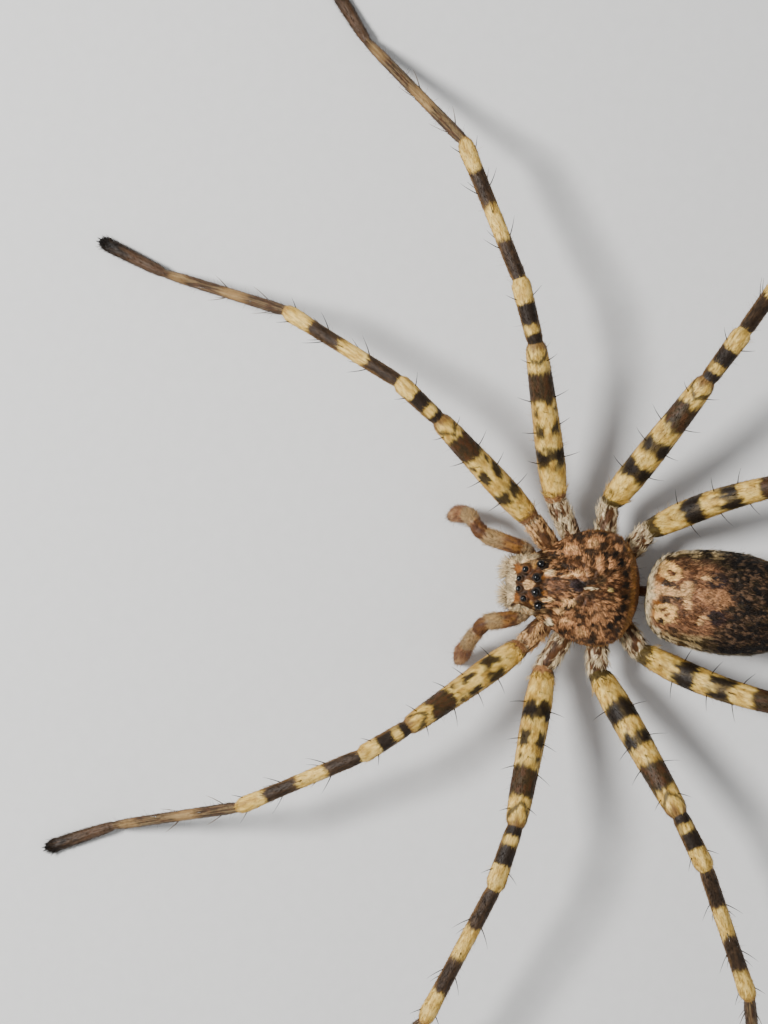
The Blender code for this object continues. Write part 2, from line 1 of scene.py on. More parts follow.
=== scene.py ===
"""Looks of a life-size huntsman spider: skin, short coat, spines, eyes, floor, light and camera.

Shapes are worked out in millimetres in the body's own frame, where the head faces -Y and the
spider's own left is +X, and MM and MIDDLE turn them into metres in the row frame.
"""

import math

import bpy
import numpy as np
from mathutils import Matrix, Vector


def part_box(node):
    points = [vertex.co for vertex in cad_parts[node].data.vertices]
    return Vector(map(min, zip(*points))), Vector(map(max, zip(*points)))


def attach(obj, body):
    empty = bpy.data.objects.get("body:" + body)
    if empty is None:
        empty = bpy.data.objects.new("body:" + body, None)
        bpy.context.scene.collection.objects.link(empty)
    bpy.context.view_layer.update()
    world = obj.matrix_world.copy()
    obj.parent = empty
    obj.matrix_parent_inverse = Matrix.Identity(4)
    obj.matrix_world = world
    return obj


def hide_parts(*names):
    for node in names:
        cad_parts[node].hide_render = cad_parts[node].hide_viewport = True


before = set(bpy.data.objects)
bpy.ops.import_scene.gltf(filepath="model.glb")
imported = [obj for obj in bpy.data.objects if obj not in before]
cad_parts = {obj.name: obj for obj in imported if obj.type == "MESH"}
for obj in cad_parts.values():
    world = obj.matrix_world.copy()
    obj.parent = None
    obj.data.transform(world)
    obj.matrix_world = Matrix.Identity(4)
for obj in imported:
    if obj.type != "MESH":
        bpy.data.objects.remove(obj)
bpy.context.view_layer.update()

MM = 0.001
SIDES = {"left": 1, "right": -1}
UP = np.array((0.0, 0.0, 1.0))
MIDDLE = np.array((0.56, 2.76, 0.0))
RNG = np.random.default_rng(7)
LATTICE = np.random.default_rng(11).random(4096)

# Coat: its depth over the skin, how far a root sinks in, the share of the locks that is grown, the
# size of the patches that lean the same way, and how far a bent lock turns down at its middle
COAT_DEPTH = {"leg": 0.09, "carapace": 0.12, "abdomen": 0.20, "palp": 0.08, "jaw": 0.14}
ROOT_SINK = 0.025
LOCK_SHARE = 1.0
CLUMP_SIZE = 0.55
LOCK_BEND = math.radians(18)
# A lock's quads and triangles, by whether it is bent, and the size of its place on the bake map
LOCK_FACES = {
    True: ([(0, 1, 4, 3), (1, 2, 5, 4), (2, 0, 3, 5)], [(3, 4, 6), (4, 5, 6), (5, 3, 6), (0, 2, 1)]),
    False: (np.zeros((0, 4), int), [(0, 1, 3), (1, 2, 3), (2, 0, 3), (0, 2, 1)]),
}
BAKE_PATCH = 0.0015

# Carapace: distance along the body, half width, height of the back, height of the lower edge
CARAPACE = np.array([
    (-6.65, 1.62, 6.60, 6.05), (-6.45, 1.98, 6.88, 6.05), (-6.1, 2.20, 7.22, 6.05),
    (-5.6, 2.32, 7.55, 6.02), (-5.0, 2.45, 7.80, 5.90), (-4.6, 2.65, 7.95, 5.45),
    (-4.2, 2.90, 8.05, 5.05), (-3.4, 3.35, 8.20, 5.00), (-2.5, 3.95, 8.35, 5.00),
    (-1.5, 4.45, 8.50, 5.00), (-0.5, 4.74, 8.60, 5.00), (0.4, 4.84, 8.60, 5.00),
    (1.3, 4.76, 8.42, 5.00), (2.1, 4.45, 8.02, 5.00), (2.8, 3.85, 7.45, 5.00),
    (3.4, 2.85, 6.75, 5.00), (3.8, 1.75, 6.10, 5.00), (4.0, 0.90, 5.60, 5.00),
])
CARAPACE_LIP = 0.3
HEAD_HALF_WIDTH, HEAD_FLARE = 2.5, 1.5
HEAD_START, HEAD_END = -3.6, 0.2
SHOULDER_DROP = 1.15
THORAX_FULLNESS = (2.2, 0.62)
HEAD_FULLNESS = (2.8, 0.55)
# Middle of the fovea, furrows from it (turn and depth), and stretches of rows: from, to and how many
FOVEA = -0.45
FURROWS = [(38, 0.16), (74, 0.09), (108, 0.09), (142, 0.08)]
CARAPACE_ROWS = [(-6.62, -3.4, 62), (-3.34, 3.2, 88), (3.25, 3.93, 16)]

EYES = ["eye_front_middle", "eye_front_side", "eye_back_middle", "eye_back_side"]

# Legs: coxa bases, hips, lengths, bearings and knee heights
COXA_BASES = {1: (2.30, -2.60), 2: (2.62, -0.90), 3: (2.62, 0.90), 4: (2.20, 2.50)}
COXA_HEIGHT = 3.60
HIPS = {1: (5.20, -5.10, 3.9), 2: (6.85, -3.20, 4.0), 3: (6.90, 1.20, 4.0), 4: (5.00, 4.55, 4.1)}
LENGTHS = {
    1: (12.5, 4.4, 10.9, 13.2, 5.9),
    2: (14.1, 5.2, 12.3, 14.6, 5.6),
    3: (13.7, 4.8, 11.7, 13.5, 5.3),
    4: (13.3, 4.3, 11.3, 15.2, 5.4),
}
BEARINGS = {
    (1, "left"): (37, 35, 27.5, 17, 23),
    (1, "right"): (42, 39, 28.5, 16, 23),
    (2, "left"): (81, 75, 67, 55, 57),
    (2, "right"): (76.5, 71.5, 65, 47, 55),
    (3, "left"): (122.5, 120, 113.5, 104.5, 103),
    (3, "right"): (122, 122.5, 122, 115, 117),
    (4, "left"): (164, 166, 164, 161.5, 161),
    (4, "right"): (156.5, 163, 159.5, 157, 158),
}
KNEES = {
    (1, "left"): (9.1, 9.5, 8.1),
    (1, "right"): (9.4, 9.8, 8.1),
    (2, "left"): (10.6, 10.8, 9.2),
    (2, "right"): (10.0, 10.6, 8.6),
    (3, "left"): (9.6, 9.8, 7.6),
    (3, "right"): (10.2, 10.6, 8.7),
    (4, "left"): (9.5, 9.7, 8.2),
    (4, "right"): (9.9, 10.4, 8.4),
}
ANKLE_HEIGHT, TOE_HEIGHT = 1.0, 0.42
FEMUR_ARCH = {1: 0.35, 2: 0.40, 3: 0.45, 4: 0.50}
FEMUR_SWEEP = {1: 0.0, 2: 0.0, 3: 0.0, 4: 0.50}
TARSUS_SAG = 0.16
STOUTNESS = {1: 0.95, 2: 1.0, 3: 1.02, 4: 0.94}

# Rings along each leg piece: share of its length, half width, half height
RINGS = {
    "coxa": [(0.0, 0.70, 0.80), (0.25, 0.84, 0.90), (0.55, 0.98, 0.95), (0.72, 0.90, 0.90),
             (0.82, 0.97, 0.95), (1.0, 0.88, 0.88)],
    "femur": [(0.0, 0.88, 0.88), (0.08, 1.08, 1.10), (0.22, 1.23, 1.26), (0.42, 1.22, 1.28),
              (0.65, 1.12, 1.16), (0.84, 1.04, 1.03), (0.95, 0.96, 0.92), (1.0, 0.82, 0.78)],
    "patella": [(0.0, 0.72, 0.72), (0.14, 0.77, 0.80), (0.55, 0.82, 0.86), (0.90, 0.87, 0.86),
                (1.0, 0.78, 0.76)],
    "tibia": [(0.0, 0.66, 0.66), (0.06, 0.70, 0.72), (0.30, 0.71, 0.74), (0.62, 0.70, 0.71),
              (0.82, 0.74, 0.72), (0.94, 0.80, 0.74), (1.0, 0.66, 0.62)],
    "metatarsus": [(0.0, 0.50, 0.50), (0.06, 0.58, 0.56), (0.40, 0.56, 0.52), (0.85, 0.54, 0.48),
                   (1.0, 0.46, 0.42)],
    "tarsus": [(0.0, 0.44, 0.40), (0.10, 0.52, 0.46), (0.45, 0.58, 0.49), (0.72, 0.62, 0.50),
               (0.92, 0.62, 0.44), (1.0, 0.44, 0.30)],
}
LEG_ROW, LEG_SIDES = 0.12, 44
# How far from a joint its mitre reaches, how deep and wide the joint's furrow is, and how far a leg
# runs on inside the breastplate
MITRE = 1.1
JOINT_PINCH, JOINT_WIDTH = 0.12, 0.20
COXA_ROOT = 0.7
# Rows that round off its ends, and the shift of the noise from leg to leg
CAP_ROWS, LEG_SHIFT = 6, 60
# Coats of a leg: slot, pieces, hairs a square millimetre, and their length, width and lift
LEG_COATS = {
    "upper": ("leg_upper", (0, 1, 2, 3), 60, 0.38, 0.044, 10),
    "lower": ("leg_lower", (4,), 60, 0.36, 0.036, 15),
    "foot": ("foot", (5,), 90, 0.36, 0.038, 16),
}

# Spines of a leg: piece, share of its length, turn from the top towards the front, length, lean
SPINES = [
    (1, 0.27, 68, 1.45, 72), (1, 0.30, -66, 1.45, 72), (1, 0.18, 6, 1.3, 65),
    (1, 0.50, 60, 1.5, 72), (1, 0.50, -60, 1.5, 72), (1, 0.61, 8, 1.3, 62),
    (1, 0.66, 74, 1.45, 68), (1, 0.68, -72, 1.45, 68), (1, 0.90, 52, 1.3, 66), (1, 0.90, -52, 1.3, 66),
    (2, 0.70, 62, 1.1, 60), (2, 0.70, -62, 1.1, 60),
    (3, 0.24, 76, 1.6, 46), (3, 0.27, -74, 1.6, 46), (3, 0.30, 140, 1.6, 36), (3, 0.33, -140, 1.6, 36),
    (3, 0.62, 76, 1.6, 44), (3, 0.65, -74, 1.6, 44), (3, 0.66, 140, 1.6, 36), (3, 0.69, -140, 1.6, 36),
    (3, 0.45, 5, 1.0, 42), (3, 0.93, 70, 1.0, 48), (3, 0.93, -70, 1.0, 48),
    (4, 0.09, 72, 1.8, 32), (4, 0.12, -72, 1.8, 32), (4, 0.08, 145, 1.8, 28), (4, 0.11, -145, 1.8, 28),
    (4, 0.44, 76, 1.8, 30), (4, 0.47, -74, 1.8, 30), (4, 0.46, 145, 1.7, 26), (4, 0.49, -145, 1.7, 26),
    (4, 0.62, 30, 1.3, 24), (4, 0.24, 10, 1.3, 24),
]
SPINE_RADIUS, SPINE_BEND, SPINE_SINK, SPINE_STEPS = 0.046, 14, 0.12, 7
# Claws: reach past the toe and height over it, and the radii from the root on
CLAW = [(0.15, 0.08), (0.32, 0.06), (0.46, -0.02), (0.52, -0.12)]
CLAW_RADII = (0.07, 0.065, 0.05, 0.035, 0.012)

# Points round the shield and the abdomen
CARAPACE_ACROSS, ABDOMEN_AROUND = 161, 256

# Marks of the shield and the abdomen: colour, place out and back, half sizes out and back, turn in
# degrees, strength, and on how many sides it is
CARAPACE_MARKS = [
    ("fringe", 0.0, -6.62, 2.60, 0.42, 0, 0.9, 1), ("orange", 1.15, -6.08, 0.42, 0.34, 0, 0.85, 2),
    ("fringe", 2.15, -5.75, 0.50, 1.05, -8, 0.8, 2), ("umber", 0.72, -5.72, 0.80, 0.36, 30, 0.7, 2),
    ("peach", 0.02, -5.30, 0.42, 0.50, 0, 0.95, 1), ("rust", 1.05, -5.05, 0.45, 0.50, 20, 0.9, 2),
    ("tan", 1.45, -4.90, 0.24, 0.20, 30, 0.8, 2), ("dark", 0.60, -4.60, 0.48, 0.44, 0, 0.95, 2),
    ("dark", 1.72, -4.20, 0.50, 0.55, -30, 1.0, 2), ("umber", 2.20, -3.70, 0.35, 0.70, -25, 0.8, 2),
    ("orange_brown", 0.60, -4.02, 0.22, 0.34, 12, 0.9, 2), ("peach", 1.12, -3.75, 0.26, 0.60, 10, 1.0, 2),
    ("cream", 1.12, -3.80, 0.15, 0.40, 10, 0.8, 2), ("rust", 0.55, -3.20, 0.20, 0.60, 8, 0.8, 2),
    ("fawn", -0.05, -3.05, 0.42, 1.00, 0, 0.85, 1), ("plum", -0.20, -1.35, 0.58, 0.80, 0, 1.0, 1),
    ("dark", -0.28, -1.10, 0.26, 0.55, 0, 0.8, 1), ("peach", -1.05, -1.65, 0.14, 1.10, 8, 0.95, 1),
    ("peach", 1.20, -1.95, 0.22, 0.85, 0, 0.95, 1), ("umber", 1.65, -2.35, 0.20, 1.00, 8, 0.9, 2),
    ("cream", 0.0, -0.34, 0.13, 0.62, 0, 1.0, 1), ("umber", 0.50, -0.40, 0.28, 0.60, 0, 0.8, 2),
    ("pink", -3.00, -1.95, 0.42, 0.75, 0, 1.0, 1), ("peach", -3.00, -1.90, 0.25, 0.60, 0, 0.7, 1),
    ("pink", -3.60, -0.15, 0.50, 0.75, 15, 1.0, 1), ("peach", -3.55, -0.25, 0.30, 0.50, 15, 0.7, 1),
    ("pink", -2.05, 0.25, 0.65, 0.34, -12, 1.0, 1), ("peach", -2.10, 0.20, 0.45, 0.18, -12, 0.7, 1),
    ("pink", -1.95, 1.25, 0.55, 0.22, 0, 1.0, 1), ("pink", -3.40, 1.90, 0.42, 0.30, 40, 0.9, 1),
    ("peach", 1.90, -2.65, 0.26, 0.60, 0, 0.9, 1), ("cream", 3.05, -3.45, 0.28, 0.50, 40, 0.9, 1),
    ("pink", 2.75, -1.95, 0.42, 0.60, 0, 1.0, 1), ("peach", 2.70, -2.00, 0.22, 0.45, 0, 0.7, 1),
    ("pink", 3.50, -0.65, 0.48, 0.75, -10, 1.0, 1), ("peach", 3.50, -0.60, 0.30, 0.50, -10, 0.7, 1),
    ("pink", 1.85, 0.45, 0.85, 0.90, 0, 0.45, 1), ("pink", 3.70, 0.90, 0.42, 0.42, 0, 0.9, 1),
    ("dark", -4.05, -1.35, 0.26, 0.62, 10, 0.9, 1), ("dark", -4.35, 0.50, 0.22, 0.50, 0, 0.9, 1),
    ("umber", -2.80, -0.45, 0.30, 0.48, 0, 0.9, 1), ("dark", -2.75, 0.90, 0.32, 0.34, 0, 0.8, 1),
    ("dark", 3.70, -2.10, 0.24, 0.48, 20, 0.9, 1), ("dark", 4.30, 0.15, 0.24, 0.34, 0, 0.9, 1),
    ("umber", 2.30, -0.95, 0.26, 0.50, 0, 0.9, 1), ("dark", 2.95, 0.30, 0.20, 0.42, 0, 0.8, 1),
    ("olive", -0.75, 0.50, 0.48, 0.45, 0, 0.7, 1), ("pale_straw", -0.10, 1.28, 0.20, 0.22, 0, 0.8, 1),
    ("olive", 0.55, 1.50, 0.40, 0.30, 0, 0.5, 1),
    ("black", 0.52, 2.62, 0.34, 0.34, 0, 1.0, 2), ("black", 1.38, 2.50, 0.46, 0.30, -12, 1.0, 2),
    ("black", 2.22, 2.15, 0.46, 0.32, -35, 1.0, 2), ("black", 2.85, 1.55, 0.28, 0.46, -30, 0.95, 2),
    ("dark", 3.60, 0.40, 0.18, 0.50, -12, 0.7, 2), ("dark", 3.35, 2.35, 0.14, 0.40, -45, 0.7, 2),
]
ABDOMEN_MARKS = [
    ("peach", -0.24, 0.10, 1.05, 0.75, 0, 0.9, 1), ("cream", -0.24, 0.05, 0.80, 0.50, 0, 0.7, 1),
    ("peach", -0.36, 1.30, 0.42, 1.40, 0, 0.95, 1),
    ("umber", -2.90, 1.02, 0.22, 0.95, 10, 0.9, 1), ("umber", -1.02, 1.37, 0.36, 0.82, -8, 0.9, 1),
    ("apricot", -1.99, 1.28, 0.74, 1.10, -12, 1.0, 1), ("redbrown", -1.90, 1.42, 0.20, 0.44, -20, 1.0, 1),
    ("orange_brown", -1.80, 0.30, 0.60, 0.26, 0, 0.9, 1), ("orange", -1.28, 0.62, 0.20, 0.34, 0, 0.8, 1),
    ("white", -0.82, 0.84, 0.09, 0.12, 0, 0.9, 1), ("umber", 0.30, 1.50, 0.34, 1.00, 8, 0.9, 1),
    ("apricot", 1.48, 1.22, 0.98, 1.18, 0, 1.0, 1), ("orange", 1.45, 0.28, 0.52, 0.24, 0, 0.8, 1),
    ("orange_brown", 0.62, 0.42, 0.22, 0.45, 0, 0.9, 1), ("dark", 1.26, 0.02, 0.26, 0.16, 0, 0.9, 1),
    ("redbrown", 1.10, 0.94, 0.20, 0.34, 20, 1.0, 1), ("redbrown", 1.48, 1.36, 0.22, 0.36, 20, 1.0, 1),
    ("umber", 2.04, 0.86, 0.28, 0.38, 0, 1.0, 1), ("umber", 2.18, 1.50, 0.20, 0.32, 20, 1.0, 1),
    ("rust", 1.82, 1.98, 0.18, 0.36, 20, 1.0, 1), ("cream", 2.87, 0.50, 0.42, 0.62, 0, 0.8, 1),
    ("umber", 2.66, 1.95, 0.24, 0.80, 0, 0.9, 1), ("rust", -2.20, 2.90, 0.85, 1.10, 0, 0.85, 1),
    ("rust", 1.55, 3.20, 0.90, 1.20, 0, 0.85, 1), ("peach", -1.00, 2.60, 0.55, 0.55, 0, 0.95, 1),
    ("peach", -0.28, 2.55, 0.60, 0.50, 0, 0.9, 1), ("peach", 0.50, 2.75, 0.38, 0.42, 0, 0.9, 1),
    ("umber", -1.32, 3.20, 0.48, 0.22, 0, 0.8, 1), ("rust", 0.80, 3.70, 0.42, 0.45, 0, 0.8, 1),
    ("pink", -0.48, 4.25, 0.70, 1.10, 0, 0.75, 1), ("pink", -0.36, 5.30, 0.85, 0.80, 0, 0.6, 1),
    ("peach", 1.85, 3.85, 0.26, 0.34, 0, 0.8, 1), ("umber", -2.55, 2.45, 0.45, 0.40, 0, 0.6, 1),
    ("plum", -1.82, 4.95, 0.72, 0.90, 0, 1.0, 1), ("dark", -1.85, 4.80, 0.40, 0.55, 0, 0.7, 1),
    ("plum", 1.18, 5.20, 0.75, 0.95, 0, 1.0, 1), ("dark", 1.15, 5.10, 0.42, 0.55, 0, 0.7, 1),
    ("peach", -1.81, 3.98, 0.22, 0.50, 8, 0.95, 1), ("peach", 1.33, 4.18, 0.20, 0.42, -8, 0.95, 1),
    ("grey", 0.85, 8.40, 0.20, 0.40, 0, 0.6, 2),
]

# Palps and fangs: the points they pass through, and their radii
PALP_ROOT = [(1.70, -3.85, 3.50), (2.12, -4.68, 3.60), (2.75, -5.48, 4.25)]
PALP_REACH = {
    "left": [(3.12, -6.80, 5.10), (3.45, -8.30, 5.45), (4.35, -9.05, 4.90), (5.30, -9.60, 3.85),
             (6.25, -9.95, 2.40), (7.00, -10.15, 1.05)],
    "right": [(3.12, -6.90, 5.10), (3.75, -8.95, 5.45), (4.70, -9.85, 4.85), (5.30, -10.35, 3.80),
              (5.30, -11.05, 2.35), (5.00, -11.60, 1.05)],
}
PALP_RADII = [0.40, 0.52, 0.62, 0.74, 0.72, 0.64, 0.66, 0.70, 0.42]
PALP_JOINTS = (2.1, 4.05, 4.8, 6.2)
FANG_POINTS = [(1.00, -6.18, 1.98), (0.86, -6.08, 1.62), (0.66, -5.76, 1.36), (0.42, -5.38, 1.28)]
FANG_RADII = [0.30, 0.26, 0.18, 0.07]
CHELICERA = np.array([
    # height, distance out, distance along the body, half width, half depth
    (5.77, 1.00, -5.95, 0.78, 0.86), (5.35, 1.01, -6.08, 0.85, 1.02), (4.50, 1.02, -6.14, 0.86, 1.06),
    (3.50, 1.00, -6.14, 0.80, 0.96), (2.70, 0.95, -6.10, 0.66, 0.78), (2.25, 0.92, -6.06, 0.46, 0.56),
])

# Breastplate, waist and abdomen
STERNUM_FACE = 0.65
LIP = [(0.45, -4.90), (0.82, -4.60), (0.88, -3.45)]
STERNUM_SHOULDER, STERNUM_REAR = (1.20, -3.30), (0.60, 3.32)
# Height and scale of the outline in each row of the breastplate and the walls over it
CORE_ROWS = [(2.46, 0.80), (2.44, 0.88), (2.52, 0.94), (2.75, 0.975), (3.2, 0.98), (3.9, 0.98), (4.5, 0.98),
             (4.9, 1.02), (5.3, 1.06), (5.6, 1.0)]
PEDICEL = ((0.0, 3.0, 3.9), (0.02, 5.1, 4.75))
PEDICEL_RADIUS = 0.44
ABDOMEN_ROWS = 200
SPINNERET_COUNT = 6
ABDOMEN_FRONT = np.array((0.10, 4.76, 0))
ABDOMEN_TURN = math.radians(-3.5)
ABDOMEN_SIDE = (math.cos(ABDOMEN_TURN), math.sin(ABDOMEN_TURN), 0)
ABDOMEN_AXES = np.array((ABDOMEN_SIDE, (-ABDOMEN_SIDE[1], ABDOMEN_SIDE[0], 0), (0, 0, 1)))
ABDOMEN_DENTS = [(-1.5, 3.9), (1.5, 3.9), (-1.6, 6.6), (1.6, 6.6)]
ABDOMEN = np.array([
    # distance from its front, half width, half height, height of its middle
    (0.0, 1.65, 1.25, 5.10), (0.25, 2.55, 1.95, 5.18), (0.8, 3.30, 2.55, 5.30), (1.9, 3.86, 3.02, 5.45),
    (3.6, 4.20, 3.35, 5.60), (5.4, 4.38, 3.50, 5.70), (7.2, 4.38, 3.50, 5.70), (8.8, 4.16, 3.32, 5.64),
    (10.2, 3.70, 2.95, 5.50), (11.4, 3.00, 2.40, 5.30), (12.4, 2.12, 1.72, 5.06), (13.1, 1.30, 1.08, 4.90),
    (13.5, 0.78, 0.66, 4.80),
])
ABDOMEN_SQUARENESS = 2.25

# Colours as a screen shows them, from 0 to 255
COLOURS = {
    "straw": (216, 180, 104), "pale_straw": (234, 206, 138), "dull_straw": (184, 160, 120),
    "apricot": (236, 196, 134), "cream": (230, 212, 176), "white": (236, 228, 212),
    "fringe": (228, 206, 168), "peach": (222, 182, 134), "pink": (196, 147, 108), "fawn": (146, 105, 78),
    "tan": (168, 124, 70),
    "orange": (156, 100, 54), "orange_brown": (142, 92, 46), "rust": (114, 75, 49),
    "redbrown": (96, 58, 34), "brown": (102, 67, 38), "leg_brown": (88, 66, 46), "umber": (60, 43, 26),
    "olive": (82, 66, 41), "grey": (112, 90, 72), "plum": (66, 48, 46), "dark": (38, 28, 19),
    "black": (18, 14, 13), "belly": (104, 80, 58),
}

# How much stronger than named the colours are painted: contrast about a middle, and colourfulness
VIVID_MIDDLE, VIVID_CONTRAST, VIVID_COLOUR = 0.5, 1.25, 1.15
# Shares of red, green and blue in how light a colour is
LIGHTNESS = np.array((0.25, 0.65, 0.10))

# Finishes: how much the colour varies, how its streaks are stretched along and across, roughness,
# size of the rough grain, strength of the relief, and fixed values
STREAKS, RELIEF_DEPTH = (3, 22, 22), 0.00006
HIDE, HAIR = {"Specular IOR Level": 0.3}, {"Specular IOR Level": 0.25}
HORN = {"Coat Weight": 0.3, "Coat Roughness": 0.15}
FINISHES = {
    "leg_hide": (0.22, STREAKS, (0.40, 0.62), 9.0, 0.45, HIDE),
    "shield_hide": (0.30, STREAKS, (0.40, 0.60), 9.0, 0.5, HIDE),
    "abdomen_hide": (0.30, (2.5, 16, 16), (0.55, 0.75), 9.0, 0.5, HIDE),
    "underside_hide": (0.30, STREAKS, (0.40, 0.60), 9.0, 0.5, HIDE),
    "palp_hide": (0.25, STREAKS, (0.40, 0.60), 9.0, 0.5, HIDE),
    "jaw_hide": (0.25, STREAKS, (0.22, 0.40), 9.0, 0.4, HIDE),
    "body_hair": (0.15, (4, 12, 12), 0.55, 0, 0, HAIR),
    "leg_hair": (0.15, (4, 12, 12), 0.50, 0, 0, HAIR),
    "spine_horn": (0.2, (10, 3, 3), (0.16, 0.30), 6.0, 0, HORN),
    "fang_horn": (0.2, (10, 3, 3), (0.10, 0.22), 6.0, 0, HORN),
    "eye_lens": (0.3, (3, 3, 3), (0.03, 0.09), 5.0, 0, {}),
}

# Floor, lights (name, place, size and power) and camera, in metres but for the camera's place
FLOOR_HALF, FLOOR_DROP = 0.9, 0.00003
FLOOR_DARK, FLOOR_LIGHT = (0.72, 0.71, 0.69, 1), (0.78, 0.77, 0.75, 1)
LIGHTS = [("key", (-0.03, -0.20, 0.24), 0.08, 1.45), ("fill", (0.20, 0.22, 0.26), 0.30, 0.20)]
SKY, SKY_STRENGTH = (0.93, 0.96, 1.0, 1), 0.38
CAMERA_PLACE, CAMERA_TURN = (-5.5596, -20.0496, 180.0), math.radians(4.0)
CAMERA_LENS, CAMERA_SENSOR = 75, 36


def linear(channels):
    """A screen colour as linear light, a little stronger, since the soft light and the coat pale it."""
    channels = np.array(channels) / 255
    light = np.where(channels < 0.04045, channels / 12.92, ((channels + 0.055) / 1.055) ** 2.4)
    grey = light @ LIGHTNESS
    stronger = VIVID_MIDDLE * (grey / VIVID_MIDDLE) ** VIVID_CONTRAST
    return np.clip(stronger + VIVID_COLOUR * (light * stronger / grey - stronger), 0.001, 0.95)


PAINT = {name: linear(channels) for name, channels in COLOURS.items()}


def noise(points, size, seed=0):
    """Smooth noise from 0 to 1, with lumps of about the given size in millimetres."""
    grid = np.asarray(points, float) / np.asarray(size, float) + 17.13 * seed
    cell = np.floor(grid).astype(np.int64)
    part = grid - cell
    part = part * part * (3 - 2 * part)
    total = np.zeros(grid.shape[:-1])
    for corner in range(8):
        step = np.array([corner & 1, corner >> 1 & 1, corner >> 2 & 1])
        x, y, z = np.moveaxis(cell + step, -1, 0)
        key = (x * 73856093 ^ y * 19349663 ^ z * 83492791) % len(LATTICE)
        total += np.prod(np.where(step, part, 1 - part), axis=-1) * LATTICE[key]
    return total


def fractal(points, size, seed=0):
    """Noise with two finer noises on it, still from 0 to 1."""
    shares = (1, 0.5, 0.25)
    size = np.asarray(size, float)
    return sum(share * noise(points, size * share, seed + k) for k, share in enumerate(shares)) / sum(shares)


def ease(low, high, value):
    """0 below low, 1 above high, and smooth between."""
    share = np.clip((value - low) / (high - low), 0, 1)
    return share * share * (3 - 2 * share)


def band(value, start, end, soft=0.02):
    """1 between start and end, with soft edges."""
    return ease(start - soft, start + soft, value) * (1 - ease(end - soft, end + soft, value))


def blob(x, y, middle, radii, turn):
    """1 in the middle of an oval patch, falling to 0 at about its edge."""
    c, s = math.cos(math.radians(turn)), math.sin(math.radians(turn))
    u = ((x - middle[0]) * c + (y - middle[1]) * s) / radii[0]
    v = ((y - middle[1]) * c - (x - middle[0]) * s) / radii[1]
    return 1 - ease(0.55, 1.15, np.sqrt(u * u + v * v))


def lay(paint, *layers):
    """Lays named colours or other paint over paint, each where its mask is."""
    for colour, mask in layers:
        over = PAINT[colour] if isinstance(colour, str) else colour
        mask = np.clip(mask, 0, 1)[..., None]
        paint = paint * (1 - mask) + over * mask
    return paint


def marks(paint, x, y, table, grain):
    """Lays oval patches with hairy edges on paint, mirrored where they are on two sides."""
    for colour, out, back, wide, long, turn, strength, count in table:
        for sign in (1, -1)[:count]:
            shape = blob(x, y, (sign * out, back), (wide, long), sign * turn)
            hairy = shape + (grain - 0.5) * 0.7 * (shape > 0.02)
            paint = lay(paint, (colour, strength * ease(0.30, 0.62, hairy)))
    return paint


def wobble(points, *moves):
    """Points moved by smooth noise of each size, reach and seed, for ragged edges on what is painted."""
    for size, reach, seed in moves:
        shift = [fractal(points, size, seed + 10 * k) - 0.5 for k in range(3)]
        points = points + reach * np.stack(shift, axis=-1)
    return points


def unit(vectors):
    """Vectors at length 1."""
    return vectors / np.maximum(np.linalg.norm(vectors, axis=-1, keepdims=True), 1e-9)


def smooth(values, width):
    """Values along a row with their kinks rounded off."""
    kernel = np.hanning(2 * width + 1)
    before, after = values[width:0:-1], values[-2:-width - 2:-1]
    padded = np.concatenate([2 * values[0] - before, values, 2 * values[-1] - after])
    return np.convolve(padded, kernel / kernel.sum(), "valid")


def along(table, places, column):
    """A column of a table, between its rows."""
    return np.interp(places, table[:, 0], table[:, column])


def round_turns(count):
    """Angles spread evenly round a circle."""
    return 2 * math.pi * np.arange(count) / count


def spread(*fields):
    """Points from the fields of their coordinates, stretched to the same rows and columns."""
    return np.stack(np.broadcast_arrays(*fields), axis=-1)


def tube_fur(run, turns, radius):
    """Coat coordinates on a tube: along it and round it."""
    return spread(run, radius * np.cos(turns), radius * np.sin(turns))


def run_along(line):
    """Distance run along a line of points."""
    return np.concatenate([[0], np.cumsum(np.linalg.norm(np.diff(line, axis=0), axis=1))])


def ring_quads(grid):
    """Quads between rings of point numbers."""
    after = np.roll(grid, -1, axis=1)
    return np.stack([grid[:-1], after[:-1], after[1:], grid[1:]], axis=-1).reshape(-1, 4)


def caps(points, steps, bulge):
    """Rounds off both ends of a tube by rows that shrink towards each end's middle."""
    ends = []
    for end, behind, reach in ((0, 1, bulge[0]), (-1, -2, bulge[1])):
        ring = points[end]
        middle = ring.mean(axis=0)
        ahead = unit(middle - points[behind].mean(axis=0))
        turns = 0.5 * math.pi * np.arange(1, steps + 1)[:, None, None] / (steps + 0.15)
        ends.append(middle + (ring - middle) * np.cos(turns) + ahead * reach * np.sin(turns))
    return np.concatenate([ends[0][::-1], points, ends[1]])


def tube(path, radii, sides):
    """Rings round a bent path."""
    ways = unit(np.gradient(path, axis=0))
    turns = round_turns(sides)[:, None]
    across = np.cross(UP, ways[0])
    rings = []
    for middle, way, radius in zip(path, ways, radii):
        across = unit(across - way * across.dot(way))
        rings.append(middle + radius * (across * np.cos(turns) + np.cross(way, across) * np.sin(turns)))
    return np.array(rings)


def along_path(points, radii, steps):
    """Points and radii on a smooth curve through the given ones, and where on it each lies."""
    knots = np.column_stack([points, radii])
    knots = np.concatenate([[2 * knots[0] - knots[1]], knots, [2 * knots[-1] - knots[-2]]])
    found = []
    for a, b, c, d in zip(knots, knots[1:], knots[2:], knots[3:]):
        for t in np.arange(steps) / steps:
            curve = 2 * b + (c - a) * t + (2 * a - 5 * b + 4 * c - d) * t ** 2
            found.append((curve + (3 * b - a - 3 * c + d) * t ** 3) / 2)
    found = np.array(found + [knots[-2]])
    return found[:, :3], found[:, 3], np.linspace(0, len(points) - 1, len(found))


